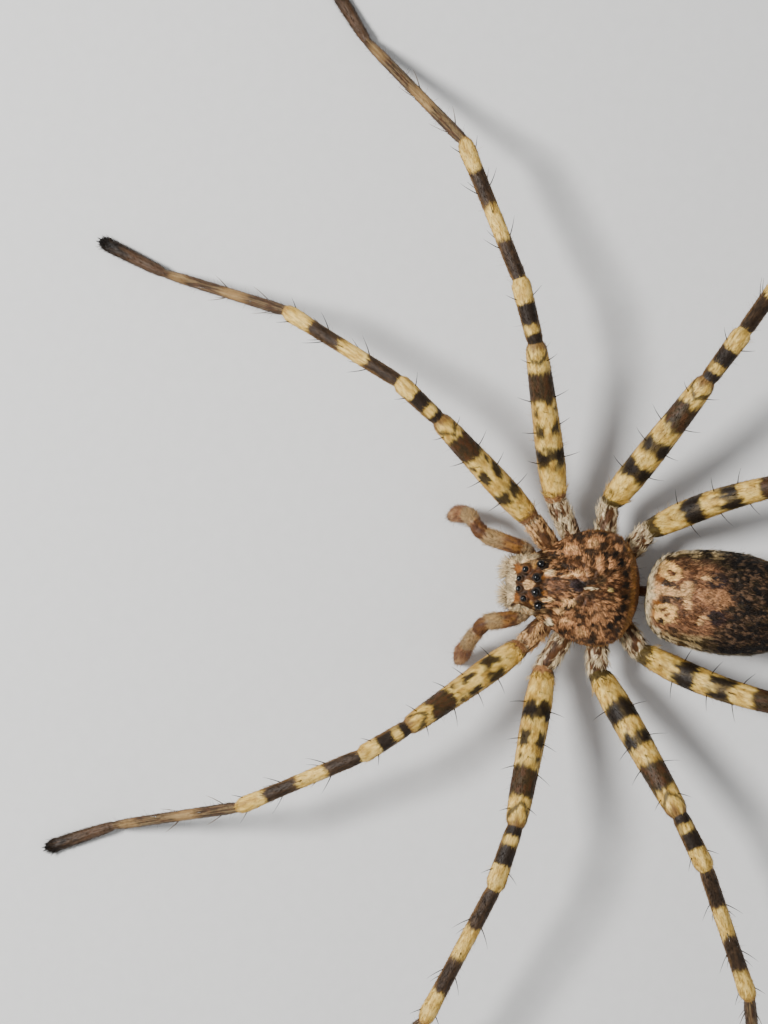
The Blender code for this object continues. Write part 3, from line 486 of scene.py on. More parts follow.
class Sheet:
    """A closed surface of rows of points, each row a ring, with its colours and the lie of its coat."""

    def __init__(self, points, paint=None):
        self.points = self.fur = points
        self.paint = None if paint is None else paint + 0 * points
        steps = np.gradient(points, axis=0)
        normals = unit(np.cross(np.roll(points, -1, axis=1) - np.roll(points, 1, axis=1), steps))
        inward = np.sum(normals * (points - points.mean(axis=1, keepdims=True))) < 0
        self.normals = -normals if inward else normals
        self.way = unit(steps)

    def at(self, field, rows, columns):
        """A field's value between the surface's points."""
        i = np.clip(np.floor(rows).astype(int), 0, len(field) - 2)
        j = np.floor(columns).astype(int)
        u, v = (rows - i)[:, None], (columns - j)[:, None]
        j %= field.shape[1]
        after = (j + 1) % field.shape[1]
        low, high = (field[row, j] * (1 - v) + field[row, after] * v for row in (i, i + 1))
        return low * (1 - u) + high * u

    def scatter(self, density, weight):
        """Random places on the surface, so many a square millimetre where the weight is 1."""
        points = self.points
        weight = weight + 0 * points[..., 0]
        after = np.roll(points, -1, axis=1)
        across = np.cross(after[1:] - points[:-1], points[1:] - after[:-1])
        chance = np.linalg.norm(across, axis=-1) / 2 * (weight[:-1] + weight[1:]) / 2
        count = int(chance.sum() * density * LOCK_SHARE)
        cells = RNG.choice(chance.size, size=count, p=chance.ravel() / chance.sum())
        rows, columns = np.divmod(cells, chance.shape[1])
        return rows + RNG.random(count), columns + RNG.random(count)

    def faces(self):
        """The surface's quads and its two end faces, all of them facing out."""
        rows, columns = self.points.shape[:2]
        grid = np.arange(rows * columns).reshape(rows, columns)
        quads = ring_quads(grid)
        groups = [quads, grid[:1, ::-1], grid[-1:]]
        a, b, c = (self.points.reshape(-1, 3)[quads[:, k]] for k in range(3))
        if np.sum(np.cross(b - a, c - a) * self.normals.reshape(-1, 3)[quads[:, 0]]) < 0:
            groups = [group[:, ::-1] for group in groups]
        return groups


def new_object(name, data):
    """A new object in the scene."""
    made = bpy.data.objects.new(name, data)
    bpy.context.scene.collection.objects.link(made)
    return made


def fill(name, points, face_groups, paint, fur, uv=None):
    """A mesh object in the row frame from arrays of points and faces, with its attributes."""
    mesh = bpy.data.meshes.new(name)
    points = (points.reshape(-1, 3) - MIDDLE) * MM
    points[:, 2] = np.maximum(points[:, 2], 0)
    loops = np.concatenate([group.ravel() for group in face_groups]).astype(np.int32)
    sizes = np.concatenate([np.full(len(group), group.shape[1]) for group in face_groups]).astype(np.int32)

    def put(fields, key, values, kind=np.float32):
        fields.foreach_set(key, values.astype(kind).ravel())

    mesh.vertices.add(len(points))
    put(mesh.vertices, "co", points)
    mesh.loops.add(len(loops))
    put(mesh.loops, "vertex_index", loops, np.int32)
    mesh.polygons.add(len(sizes))
    put(mesh.polygons, "loop_start", np.cumsum(sizes) - sizes, np.int32)
    put(mesh.polygons, "loop_total", sizes, np.int32)
    mesh.update(calc_edges=True)
    mesh.validate()
    rgba = np.column_stack([paint.reshape(-1, 3), np.ones(len(points))])
    put(mesh.attributes.new("paint", "FLOAT_COLOR", "POINT").data, "color", rgba)
    put(mesh.attributes.new("fur", "FLOAT_VECTOR", "POINT").data, "vector", fur)
    if uv is not None:
        put(mesh.uv_layers.new(name="OFBake").data, "uv", uv[loops])
    mesh.shade_smooth()
    return new_object(name, mesh)


def dress(piece, finish, slot, *nodes):
    """Gives a piece its material and its body, and hides the parts of the solids that it stands for; the slot
    is not used.
    """
    piece.data.materials.append(bpy.data.materials[finish])
    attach(piece, "root")
    if nodes:
        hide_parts(*nodes)
    return piece


def skin(name, sheet, finish, slot, *nodes):
    """A sheet as a skin piece."""
    return dress(fill(name, sheet.points, sheet.faces(), sheet.paint, sheet.fur), finish, slot, *nodes)


def grow(sheet, density, weight, length, width, lift, sway=12, clump=16, gain=(0.85, 1.15), tip_gain=1.1,
         way=None, bent=True):
    """Tapered three-sided locks rooted here and there on a sheet: points, colours, bake places and faces."""
    rows, columns = sheet.scatter(density, weight)
    count = len(rows)
    fields = (sheet.points, sheet.normals, sheet.way if way is None else way, sheet.paint, sheet.fur)
    root, normal, lie, paint, fur = (sheet.at(field, rows, columns) for field in fields)
    normal = unit(normal)
    lie = unit(lie - normal * np.sum(lie * normal, axis=1, keepdims=True))
    swing = RNG.normal(0, sway, count) + clump * 2 * (noise(root, CLUMP_SIZE, 99) - 0.5)
    swing = np.radians(swing)[:, None]
    lie = lie * np.cos(swing) + np.cross(normal, lie) * np.sin(swing)
    aside = np.cross(normal, lie)
    length = (length * RNG.uniform(0.7, 1.2, count))[:, None]
    width = (width * RNG.uniform(0.8, 1.2, count))[:, None]
    rise = np.radians(lift + RNG.normal(0, 0.25 * lift + 2, count))[:, None]
    first, second = (lie * np.cos(turn) + normal * np.sin(turn) for turn in (rise, rise - LOCK_BEND))
    base = root - normal * ROOT_SINK
    middle = base + first * length * 0.5
    shape = []
    for spot, half, height in ((base, 0.5, 0.4), (middle, 0.4, 0.3))[:1 + bent]:
        shape += [spot - aside * width * half, spot + aside * width * half, spot + normal * width * height]
    shape.append(middle + second * length * 0.5 if bent else base + first * length)
    each = len(shape)
    # Each lock is painted darker at its root, as painted shade deep in the coat, and lighter towards its tip
    # by tip_gain
    paint = (paint * RNG.uniform(*gain, count)[:, None])[:, None] * np.linspace(0.85, tip_gain, each)[:, None]
    tall, wide = sheet.points.shape[:2]
    place = np.stack([columns % wide / wide, rows / (tall - 1)], axis=1) * 0.98 + 0.01
    corner = np.arange(each) % 3
    patch = np.stack([np.take((-1, 1, 0), corner), np.linspace(-1, 1, each) + 0.25 * (corner == 2)], axis=1)
    fur = np.repeat(fur[:, None], each, axis=1)
    return np.stack(shape, axis=1), paint, fur, place[:, None] + patch * BAKE_PATCH, *LOCK_FACES[bent]


def coat(name, finish, slot, *growths):
    """Several growths of locks as one coat piece."""
    total, tris, quads = 0, [], []
    for growth in growths:
        count, each = growth[0].shape[:2]
        starts = total + each * np.arange(count)[:, None, None]
        quads.append((starts + growth[4]).reshape(-1, 4))
        tris.append((starts + growth[5]).reshape(-1, 3))
        total += count * each
    fields = [[growth[k].reshape(-1, growth[k].shape[-1]) for growth in growths] for k in range(4)]
    points, paint, fur, uv = (np.concatenate(field) for field in fields)
    piece = fill(name, points, [np.concatenate(tris), np.concatenate(quads)], paint, fur, uv)
    dress(piece, finish, slot)


def tubes(name, strands, sides):
    """Many thin tapered tubes as one mesh: each has a path, radii along it and a colour along it."""
    turns = round_turns(sides)
    points, quads, tris, paints, furs, total = [], [], [], [], [], 0
    for number, (path, radii, colour) in enumerate(strands):
        rings = tube(path, radii, sides)
        rows = len(rings)
        grid = total + np.arange(rows * sides).reshape(rows, sides)
        after = np.roll(grid, -1, axis=1)
        total += rows * sides + 2
        quads.append(ring_quads(grid))
        tris.append(np.stack([grid[-1], after[-1], np.full(sides, total - 2)], axis=-1))
        tris.append(np.stack([after[0], grid[0], np.full(sides, total - 1)], axis=-1))
        points += [rings.reshape(-1, 3), path[-1:], path[:1]]
        paints += [np.repeat(colour, sides, axis=0), colour[-1:], colour[:1]]
        run = np.linspace(0, 1, rows)[:, None] * np.linalg.norm(path[-1] - path[0])
        fur = tube_fur(run + number * 3, turns, 0.1)
        furs += [fur.reshape(-1, 3), fur[-1, :1], fur[0, :1]]
    points, paints, furs, quads, tris = (np.concatenate(each) for each in (points, paints, furs, quads, tris))
    return fill(name, points, [quads, tris], paints, furs)


def feed(tree, node, inputs):
    """Gives each input of a node its value, or links it to another node's output."""
    for name, value in inputs.items():
        if isinstance(value, bpy.types.NodeSocket):
            tree.links.new(value, node.inputs[name])
        else:
            node.inputs[name].default_value = value


def new_node(tree, kind, output, inputs, **settings):
    """One output of a new shader node."""
    made = tree.nodes.new("ShaderNode" + kind)
    for name, value in settings.items():
        setattr(made, name, value)
    feed(tree, made, inputs)
    return made.outputs[output]


def noise_node(tree, vector, scale, detail, stretch=(1, 1, 1)):
    """Noise over a vector that is stretched first."""
    vector = new_node(tree, "Mapping", "Vector", {"Vector": vector, "Scale": stretch})
    return new_node(tree, "TexNoise", "Fac", {"Vector": vector, "Scale": scale, "Detail": detail})


def remap(tree, value, low, high):
    """Noise brought to another range."""
    limits = {"From Min": 0.25, "From Max": 0.75, "To Min": low, "To Max": high}
    return new_node(tree, "MapRange", "Result", {"Value": value, **limits})


def new_material(name):
    """An empty material, its nodes and its shader."""
    made = bpy.data.materials.new(name)
    made.use_nodes = True
    return made, made.node_tree, made.node_tree.nodes["Principled BSDF"]


def build_finish(name, variation, stretch, rough, grain, relief, fixed):
    """A material of the painted colour, lighter and darker by fine noise along the lie of the coat."""
    _, tree, shader = new_material(name)
    fur = new_node(tree, "Attribute", "Vector", {}, attribute_name="fur")
    colour = new_node(tree, "Attribute", "Color", {}, attribute_name="paint")
    gain = remap(tree, noise_node(tree, fur, 1.0, 3.0, stretch), 1 - variation, 1 + variation)
    colour = new_node(tree, "VectorMath", "Vector", {0: colour, "Scale": gain}, operation="SCALE")
    inputs = {"Base Color": colour, "Roughness": rough, **fixed}
    if grain:
        inputs["Roughness"] = remap(tree, noise_node(tree, fur, grain, 2.0), *rough)
    if relief:
        streaks = noise_node(tree, fur, 1.0, 4.0, stretch)
        bump = {"Strength": relief, "Distance": RELIEF_DEPTH, "Height": streaks}
        inputs["Normal"] = new_node(tree, "Bump", "Normal", bump)
    feed(tree, shader, inputs)


def leg_joints(pair, side):
    """A leg's joints from the start of its coxa to the toe."""
    sign = SIDES[side]
    out, back = COXA_BASES[pair]
    x, y, z = HIPS[pair]
    points = [np.array((sign * out, back, COXA_HEIGHT)), np.array((sign * x, y, z))]
    heights = (*KNEES[pair, side], ANKLE_HEIGHT, TOE_HEIGHT)
    for length, bearing, height in zip(LENGTHS[pair], BEARINGS[pair, side], heights):
        rise = height - points[-1][2]
        level = math.sqrt(length ** 2 - rise ** 2)
        turn = math.radians(bearing)
        points.append(points[-1] + (sign * level * math.sin(turn), -level * math.cos(turn), rise))
    return points


def leg_rows(pair, side):
    """Rows along a leg: piece, share of it, half width and height, gap to a joint, middle and directions."""
    joints = leg_joints(pair, side)
    ways = [unit(b - a) for a, b in zip(joints, joints[1:])]
    bows = {"femur": (-SIDES[side] * FEMUR_SWEEP[pair], FEMUR_ARCH[pair]), "tarsus": (0, -TARSUS_SAG)}
    rows = []
    for k, (kind, start, way) in enumerate(zip(RINGS, joints, ways)):
        reach = joints[k + 1] - start
        length = np.linalg.norm(reach)
        shares = np.linspace(0, 1, round(length / LEG_ROW) + 1)[1:]
        if k == 0:
            shares = np.concatenate([[-COXA_ROOT / length, -0.5 * COXA_ROOT / length, 0.0], shares])
        level = unit(np.cross(UP, way))
        up = unit(np.cross(way, level))
        out, rise = bows.get(kind, (0, 0))
        stout = 1 if kind in ("coxa", "tarsus") else STOUTNESS[pair]
        rings = np.array(RINGS[kind]) * (1, stout, stout)
        for share in shares:
            middle = start + reach * share + (level * out + up * rise) * math.sin(math.pi * max(share, 0))
            nears = [(share * length, k - 1)] * (k > 0) + [((1 - share) * length, k + 1)] * (k < 5)
            lean = way * 0
            for near, other in nears:
                plane = unit(way + ways[other])
                lean = lean + plane / way.dot(plane) * (1 - ease(0, MITRE, near))
            half = (along(rings, share, 1), along(rings, share, 2))
            rows.append((k, share, *half, min(nears)[0], middle, level, up, way, lean))
    return [np.array(column) for column in zip(*rows)]


def leg_sheet(pair, side):
    """A leg's skin from inside the breastplate to the toe, as one tube of rows, with its painted coat."""
    pieces, shares, wide, high, gap, middle, level, up, way, lean = leg_rows(pair, side)
    pinch = 1 - JOINT_PINCH * np.exp(-(gap / JOINT_WIDTH) ** 2)
    wide, high = (((smooth(half, 3) - COAT_DEPTH["leg"]) * pinch)[:, None] for half in (wide, high))
    turns = round_turns(LEG_SIDES)
    offset = (level[:, None] * (wide * np.cos(turns))[..., None]
              + up[:, None] * (high * np.sin(turns))[..., None])
    slide = -np.sum(offset * lean[:, None], axis=-1, keepdims=True)
    sheet = Sheet(caps(middle[:, None] + offset + way[:, None] * slide, CAP_ROWS, (0.05, 0.16)))
    sheet.pieces, sheet.shares = (np.pad(values, CAP_ROWS, "edge") for values in (pieces, shares))
    sheet.sign = SIDES[side]
    run = run_along(sheet.points.mean(axis=1))[:, None] + LEG_SHIFT * (pair * 2 + sheet.sign)
    sheet.fur = tube_fur(run, turns, 1.1)
    paint_leg(sheet, turns, pair)
    return sheet


def paint_leg(sheet, turns, pair):
    """Straw-coloured legs with dark rings, spots and V marks, olive-brown shins and dark feet, with painted
    shade on the sides and undersides of the upper pieces and a painted highlight along the top of the
    metatarsus.
    """
    k, s, grain = sheet.pieces[:, None], sheet.shares[:, None], sheet.fur
    top, front = np.sin(turns), -sheet.sign * np.cos(turns)
    noises = {(0.55, 0.13, 0.13): 3, (0.9, 0.7, 0.7): 4, (0.7, 0.5, 0.5): 6}
    fine, broad, other = (noise(grain, size, seed) - 0.5 for size, seed in noises.items())
    mottle = fractal(grain, (0.5, 0.22, 0.22), 5)
    tuft = noise(grain, (0.5, 0.28, 0.28), 8)
    streaks = ease(0.46, 0.62, noise(grain, (1.6, 0.16, 0.16), 7))
    e = s + fine * 0.035 + broad * 0.045
    wide = np.abs(np.degrees(np.arctan2(front, top))) + other * 26 + fine * 18
    # Masks of the underside and of the sides turned away from the top, which carry painted shade on the
    # femur, patella and tibia
    below = 1 - ease(-0.5, 0.25, top + fine * 0.5)
    side_shade = ease(42, 88, wide)
    crown = ease(0.2, 0.6, top + 0.4 * front) * ease(0.35, 0.5, tuft) * 0.8
    paint = lay(PAINT["straw"], ("pale_straw", ease(0.42, 0.62, mottle) * 0.6),
                ("tan", ease(0.52, 0.72, 1 - mottle) * 0.55),
                ("olive", ease(0.60, 0.78, noise(grain, (1.3, 0.6, 0.6), 9)) * 0.25))

    def on(piece, *layers):
        nonlocal paint
        paint = lay(paint, *((colour, mask * (k == piece)) for colour, mask in layers))

    def spot(middle, low, high):
        return 1 - ease(low, high, np.abs(wide - middle))

    # Coxa, with pale tufts
    on(0, ("brown", 1), ("umber", ease(0.48, 0.68, 1 - mottle) * 0.7),
       ("fawn", ease(0.36, 0.54, tuft) * 0.75),
       ("cream" if pair > 1 else "peach", ease(0.45, 0.61, tuft) * ease(0.25, 0.5, e) * 0.85),
       ("cream", ease(0.95, 0.98, s) * crown))

    # Femur: rings, spots, V marks and dark or reddish ends, and painted shade on its sides and underside
    shift = 0.03 + 0.09 * ease(0.35, 0.75, s) if pair == 4 else 0.0
    f = e - shift * band(s, 0.1, 0.97, 0.1)
    rings = [band(f, 0.245, 0.36, 0.018) * spot(38, 22, 36)]
    if pair > 1:
        rings.append(band(f, 0.30 if pair == 2 else 0.275, 0.375, 0.018) * (1 - below * 0.6))
    rings.append(band(f, 0.450, 0.545, 0.018) * spot(36, 15, 25))
    if pair > 2:
        rings.append(band(f, 0.475, 0.545, 0.022) * (1 - below * 0.6) * 0.85)
    else:
        rings.append(band(f, 0.585, 0.63, 0.014) * spot(46, 7, 15) * 0.9)
    rings.append(band(f, 0.665, 0.835, 0.018) * (1 - below * 0.45))
    # Painted shade: tan on the sides and orange-brown on the underside
    on(1, ("tan", side_shade * 0.55), ("orange_brown", below * 0.8))
    for colour, share in (("umber", 0.9), ("dark", 0.55)):
        on(1, *((colour, ring * share) for ring in rings))
    vee = np.abs(f - 0.875 - 0.065 * wide / 60)
    on(1, ("redbrown", band(f, 0.68, 0.82, 0.012) * ease(0.40, 0.60, mottle) * 0.7),
       ("dark", (1 - ease(0.010, 0.024, vee)) * (wide < 75) * 0.85), ("rust", ease(0.955, 0.985, e) * 0.8))
    if pair > 2:
        reach = 0.065 if pair == 4 else 0.035
        on(1, ("dark", (1 - ease(reach, reach + 0.02, e - 0.02 * top)) * 0.9))
    else:
        on(1, ("redbrown", (1 - ease(0.05, 0.075, e)) * 0.9),
           ("pink", (1 - ease(0.045, 0.06, e)) * ease(0.2, 0.7, top + 0.3 * front) * 0.6))
    on(1, ("cream", (1 - ease(0.006, 0.016, s)) * crown))

    # Patella and tibia
    on(2, ("umber", (1 - ease(0.13, 0.17, e)) + band(e, 0.30, 0.62) + 0.6 * band(e, 0.15, 0.30)
           * ease(26, 50, wide)), ("dark", (band(e, -1, 0.10) + band(e, 0.34, 0.58, 0.03)) * 0.4))
    on(3, ("leg_brown", band(e, -1, 0.285) + band(e, 0.51, 0.775)),
       ("umber", (band(e, -1, 0.25, 0.03) + band(e, 0.55, 0.75, 0.03)) * ease(0.32, 0.56, mottle) * 0.95),
       ("tan", ease(0.97, 0.99, e) * 0.7))
    # Painted shade on the patella and tibia: tan on the sides and orange-brown on the underside
    for piece in (2, 3):
        on(piece, ("tan", side_shade * 0.4), ("orange_brown", below * 0.6))

    # Metatarsus and tarsus, with pale streaks along the top of the metatarsus as a painted highlight
    pale_rings = band(e, 0.31, 0.49, 0.06) + 0.6 * band(e, 0.80, 0.93, 0.04)
    on(4, ("leg_brown", 1), ("umber", ease(0.4, 0.65, mottle) * 0.5),
       ("rust", ease(0.45, 0.65, 1 - mottle) * 0.5), ("tan", pale_rings * ease(-0.2, 0.6, top) * 0.5),
       ("dull_straw", pale_rings * ease(0.2, 0.8, top) * 0.3),
       # Painted highlight: pale streaks along the top of the metatarsus
       ("dull_straw", streaks * ease(0.3, 0.9, top) * 0.3))
    on(5, ("leg_brown", 1), ("rust", ease(0.42, 0.62, mottle) * 0.3),
       ("grey", streaks * ease(0.3, 0.9, top) * 0.7), ("umber", below * 0.9),
       ("dark", ease(0.50, 0.92, e + (mottle - 0.5) * 0.5 + (fine + broad) * 0.3)),
       ("black", ease(0.92, 1.0, e) * 0.6))
    sheet.paint = paint * (0.74 + 0.50 * mottle[..., None])


def spine_path(sheet, row, column, length, lean):
    """A spine's curve: it leaves the skin at its lean and bends a little towards the foot."""
    spot = np.array([row]), np.array([column % LEG_SIDES])
    root, normal, way = (sheet.at(field, *spot)[0] for field in (sheet.points, sheet.normals, sheet.way))
    normal, way = unit(normal), unit(way)
    way = unit(way - normal * way.dot(normal))
    way = unit(way + np.cross(normal, way) * RNG.normal(0, 0.10))
    path = [root - normal * SPINE_SINK]
    for step in range(SPINE_STEPS):
        turn = math.radians(lean - SPINE_BEND * step / SPINE_STEPS + RNG.normal(0, 1.0))
        ahead = normal * math.sin(turn) + way * math.cos(turn)
        path.append(path[-1] + ahead * (length + SPINE_SINK) / SPINE_STEPS)
    return np.maximum(path, (-np.inf, -np.inf, 0.05))


def leg_spines(sheet, pair, side):
    """The spines of one leg, and the two claws at its end, as one piece."""
    rows = np.arange(len(sheet.pieces))
    strands = []
    taper = np.linspace(0, 1, SPINE_STEPS + 1)
    for kind, share, aside, length, lean in SPINES:
        here = rows[sheet.pieces == kind]
        row = float(np.interp(share + RNG.normal(0, 0.008), sheet.shares[here], here))
        angle = math.radians(aside + RNG.normal(0, 3))
        column = math.atan2(math.cos(angle), -sheet.sign * math.sin(angle)) / (2 * math.pi) * LEG_SIDES
        length = length * RNG.uniform(0.9, 1.1)
        path = spine_path(sheet, row, column, length, lean + RNG.normal(0, 4))
        pale = (0.5 if kind == 4 else 0.0) * taper[:, None]
        tint = PAINT["black"] * (1 - pale) + PAINT["tan"] * pale
        tint[:2] = PAINT["umber"]
        strands.append((path, SPINE_RADIUS * (1 - 0.9 * taper ** 1.3), tint))
    toe = sheet.points[-1].mean(axis=0)
    way = unit(sheet.way[-8].mean(axis=0) * (1, 1, 0))
    across = np.cross(UP, way)
    for out in (-1, 1):
        spots = [toe - way * 0.25 + across * out * 0.10 + UP * 0.05]
        for reach, drop in CLAW:
            spots.append(toe + way * reach + across * out * (0.13 + 0.05 * reach) + UP * drop)
        path = np.maximum(spots, (-np.inf, -np.inf, 0.06))
        strands.append((path, CLAW_RADII, np.repeat(PAINT["black"][None], len(path), axis=0)))
    dress(tubes(f"leg{pair}_{side}_spines", strands, 6), "spine_horn", "leg_upper")


def leg_coats(sheet, pair, side):
    """A leg's coat: short flat hair, fine standing hairs, pale tufts at the hip and pads below the foot."""
    pieces, shares = sheet.pieces[:, None], sheet.shares[:, None]
    top = np.sin(round_turns(LEG_SIDES))
    light = ease(0.10, 0.30, sheet.paint @ LIGHTNESS)
    hip = (pieces == 0) | ((pieces == 1) & (shares < 0.1))
    for part, (slot, kinds, density, length, width, lift) in LEG_COATS.items():
        here = np.isin(pieces, kinds)
        tip = here * ease(0.86, 0.95, shares)
        grown = [grow(sheet, density, here, length, width, lift, bent=False, gain=(0.65, 1.25))]
        if part != "foot":
            grown.append(grow(sheet, 3.2, here, 0.75, 0.024, 52, sway=25, gain=(0.6, 1.1), tip_gain=1.4,
                              bent=False))
        if part == "upper":
            tufts = hip * light * ease(-0.3, 0.4, top)
            grown.append(grow(sheet, 42, tufts, 0.75, 0.060, 24, sway=20, clump=45, tip_gain=1.15))
        elif part == "lower":
            below = here * ease(0.5, 1.0, shares) * (1 - ease(-0.6, -0.1, top))
            grown.append(grow(sheet, 40, below, 0.40, 0.04, 35, sway=20, bent=False))
        else:
            pad = here * ease(0.05, 0.35, shares) * (1 - ease(-0.2, 0.3, top))
            grown += [
                grow(sheet, 130, pad, 0.40, 0.045, 30, sway=20, bent=False),
                grow(sheet, 170, tip, 0.46, 0.050, 24, sway=20, gain=(0.8, 1.8)),
                grow(sheet, 150, tip * ease(0.5, 0.9, 1 - np.abs(top)), 0.62, 0.050, 40, sway=16,
                     gain=(0.8, 2.0)),
            ]
        coat(f"leg{pair}_{side}_coat_{part}", "leg_hair", slot, *grown)


def carapace_height(x, y):
    """The height of the carapace's back in the solids, over a point of its outline."""
    half_width, crest, edge = (along(CARAPACE, y, k) for k in (1, 2, 3))
    rim = edge + CARAPACE_LIP
    head = 1 - ease(HEAD_START, HEAD_END, y)
    shoulder = crest - SHOULDER_DROP * head
    across = np.minimum(1, np.abs(x) / half_width)
    low = rim + (shoulder - rim) * (1 - across ** THORAX_FULLNESS[0]) ** THORAX_FULLNESS[1]
    on_head = np.minimum(1, np.abs(x) / np.minimum(half_width, HEAD_HALF_WIDTH + HEAD_FLARE * (1 - head)))
    high = rim + (crest - rim) * (1 - on_head ** HEAD_FULLNESS[0]) ** HEAD_FULLNESS[1]
    return np.maximum(low, high)


def carapace_relief(x, y, eyes):
    """Fovea, furrows that run out from it, and the low mounds and sockets round the eyes."""
    out, back = np.abs(x), y - FOVEA
    relief = -0.20 * np.exp(-(x / 0.14) ** 2) * band(y, -1.15, 0.35, 0.3)
    reach = np.hypot(out, back)
    angle = np.degrees(np.arctan2(out, -back))
    for furrow, depth in FURROWS:
        relief = relief - depth * np.exp(-((angle - furrow) / 6) ** 2) * band(reach, 0.9, 3.6, 0.5)
    for eye_x, eye_y, radius in eyes:
        gap = np.hypot(x - eye_x, y - eye_y)
        relief = relief + 0.15 * (1 - ease(0.9 * radius, 2.2 * radius, gap))
        relief = relief + 0.08 * np.exp(-((gap - 1.10 * radius) / 0.08) ** 2)
    return relief


def carapace_sheet(eyes):
    """The shield over the head and thorax."""
    y = np.concatenate([np.linspace(*stretch) for stretch in CARAPACE_ROWS])
    half_width, low = (smooth(along(CARAPACE, y, k), 3)[:, None] for k in (1, 3))
    half_width = half_width - 0.08
    y = y[:, None]
    x = half_width * np.cos(np.linspace(0, math.pi, CARAPACE_ACROSS))
    z = carapace_height(x, y)
    for _ in range(2):
        z[1:-1] = 0.25 * z[:-2] + 0.5 * z[1:-1] + 0.25 * z[2:]
        z[:, 1:-1] = 0.25 * z[:, :-2] + 0.5 * z[:, 1:-1] + 0.25 * z[:, 2:]
    relief = carapace_relief(x, y, eyes) + 0.06 * (fractal(spread(x, y, z), 0.6, 21) - 0.5)
    z = z - COAT_DEPTH["carapace"] + relief * ease(0.0, 0.5, z - low - 0.2)
    below = spread(np.linspace(-0.95, 0.95, 14) * half_width, y, low + 0.04)
    sheet = Sheet(caps(np.concatenate([spread(x, y, z), below], axis=1), 4, (0.10, 0.06)))
    sheet.fur = sheet.points[..., [1, 0, 2]]
    paint_carapace(sheet)
    return sheet


def paint_carapace(sheet):
    """Mottled brown with peach locks, dark arcs round the eyes, black scallops behind and painted shade on
    the rear slope.
    """
    points = sheet.points
    x, y, _ = np.moveaxis(wobble(points, (0.9, 0.35, 31), (0.3, 0.26, 35)), -1, 0)
    mottle = fractal(points, (0.45, 0.7, 0.45), 41)
    tuft = noise(points, (0.18, 0.34, 0.18), 43)
    fine = noise(points, (0.10, 0.20, 0.10), 44)
    grain = 0.5 * tuft + 0.5 * fine
    pale = (0.45 * tuft + 0.25 * fine + 0.30 * mottle) * ease(-4.9, -4.0, y)
    paint = lay(PAINT["brown"], ("umber", ease(0.46, 0.62, mottle) * 0.75),
                ("rust", ease(0.50, 0.64, fractal(points, 0.6, 47)) * 0.7),
                ("pink", ease(0.49, 0.58, pale) * 0.65))
    paint = marks(paint, x, y, CARAPACE_MARKS, grain)
    cheek = (1 - ease(-4.2, -3.4, y)) * ease(1.3, 2.0, np.abs(x))
    x, y, _ = np.moveaxis(points, -1, 0)
    edge = along(CARAPACE, y, 1) - np.abs(x)
    behind = np.maximum(ease(3.05, 3.20, y + 0.05 * x ** 2),
                        (1 - ease(0.14, 0.28, edge + (mottle - 0.5) * 0.2)) * ease(-2, 0.5, y))
    # Red-brown over the rear slope of the shield, from 3.42 mm back, is painted shade
    paint = lay(paint, ("peach", ease(0.56, 0.68, tuft) * cheek * 0.7),
                ("umber", ease(0.50, 0.65, 1 - grain) * 0.6),
                ("tan", behind * 0.45), ("redbrown", ease(3.42, 3.62, y) * 0.85))
    paint = paint * (0.74 + 0.34 * mottle + 0.36 * fine)[..., None]
    sheet.paint = lay(paint, ("umber", 1 - ease(-0.1, 0.25, sheet.normals[..., 2])))


def carapace_coat(sheet, eyes):
    """The shield's coat, with a clear patch over each eye, and the fringes at its front edge and cheeks."""
    x, y, _ = np.moveaxis(sheet.points, -1, 0)
    here = ease(-0.15, 0.1, sheet.normals[..., 2])
    up = here
    for eye_x, eye_y, radius in eyes:
        here = here * ease(1.10 * radius, 1.10 * radius + 0.12, np.hypot(x - eye_x, y - eye_y))
    half_width = along(CARAPACE, y, 1)
    head = 1 - ease(-5.9, -5.5, y)
    radial = ease(0.3, 1.8, np.abs(x)) * ease(-3.8, -1.6, y)
    reach = np.hypot(x, y - FOVEA) + 0.5
    cheeks = np.sign(x) * ease(0.55, 0.9, np.abs(x) / half_width) * (1 - ease(-5.0, -3.8, y))
    flow = spread(1.3 * cheeks + radial * x / reach,
                  (1 - 2 * head) * (1 - radial) + radial * (y - FOVEA) / reach, -0.3 * head)
    light = ease(0.10, 0.32, sheet.paint @ LIGHTNESS)
    face = 1 - 0.45 * (1 - ease(-5.4, -4.0, y))
    edge = up * (1 - ease(0.25, 0.55, half_width - np.abs(x)))
    cheek = edge * (1 - ease(-4.9, -3.9, y)) + up * (1 - ease(-6.5, -6.2, y))
    coat("carapace_coat", "body_hair", "carapace",
         grow(sheet, 190, here, 0.30, 0.046, 12, way=flow, gain=(0.70, 1.5), bent=False),
         grow(sheet, 260, here * (1 - ease(-4.4, -3.8, y)), 0.17, 0.030, 24, way=flow, gain=(0.6, 1.4),
              sway=22, bent=False),
         grow(sheet, 75, here * light * face, 0.48, 0.058, 17, way=flow, gain=(1.0, 1.5)),
         grow(sheet, 4, here, 0.7, 0.024, 50, way=flow, sway=30, gain=(0.5, 0.9), bent=False),
         grow(sheet, 240, cheek, 0.62, 0.050, 16, way=flow, gain=(0.75, 1.25), sway=18))


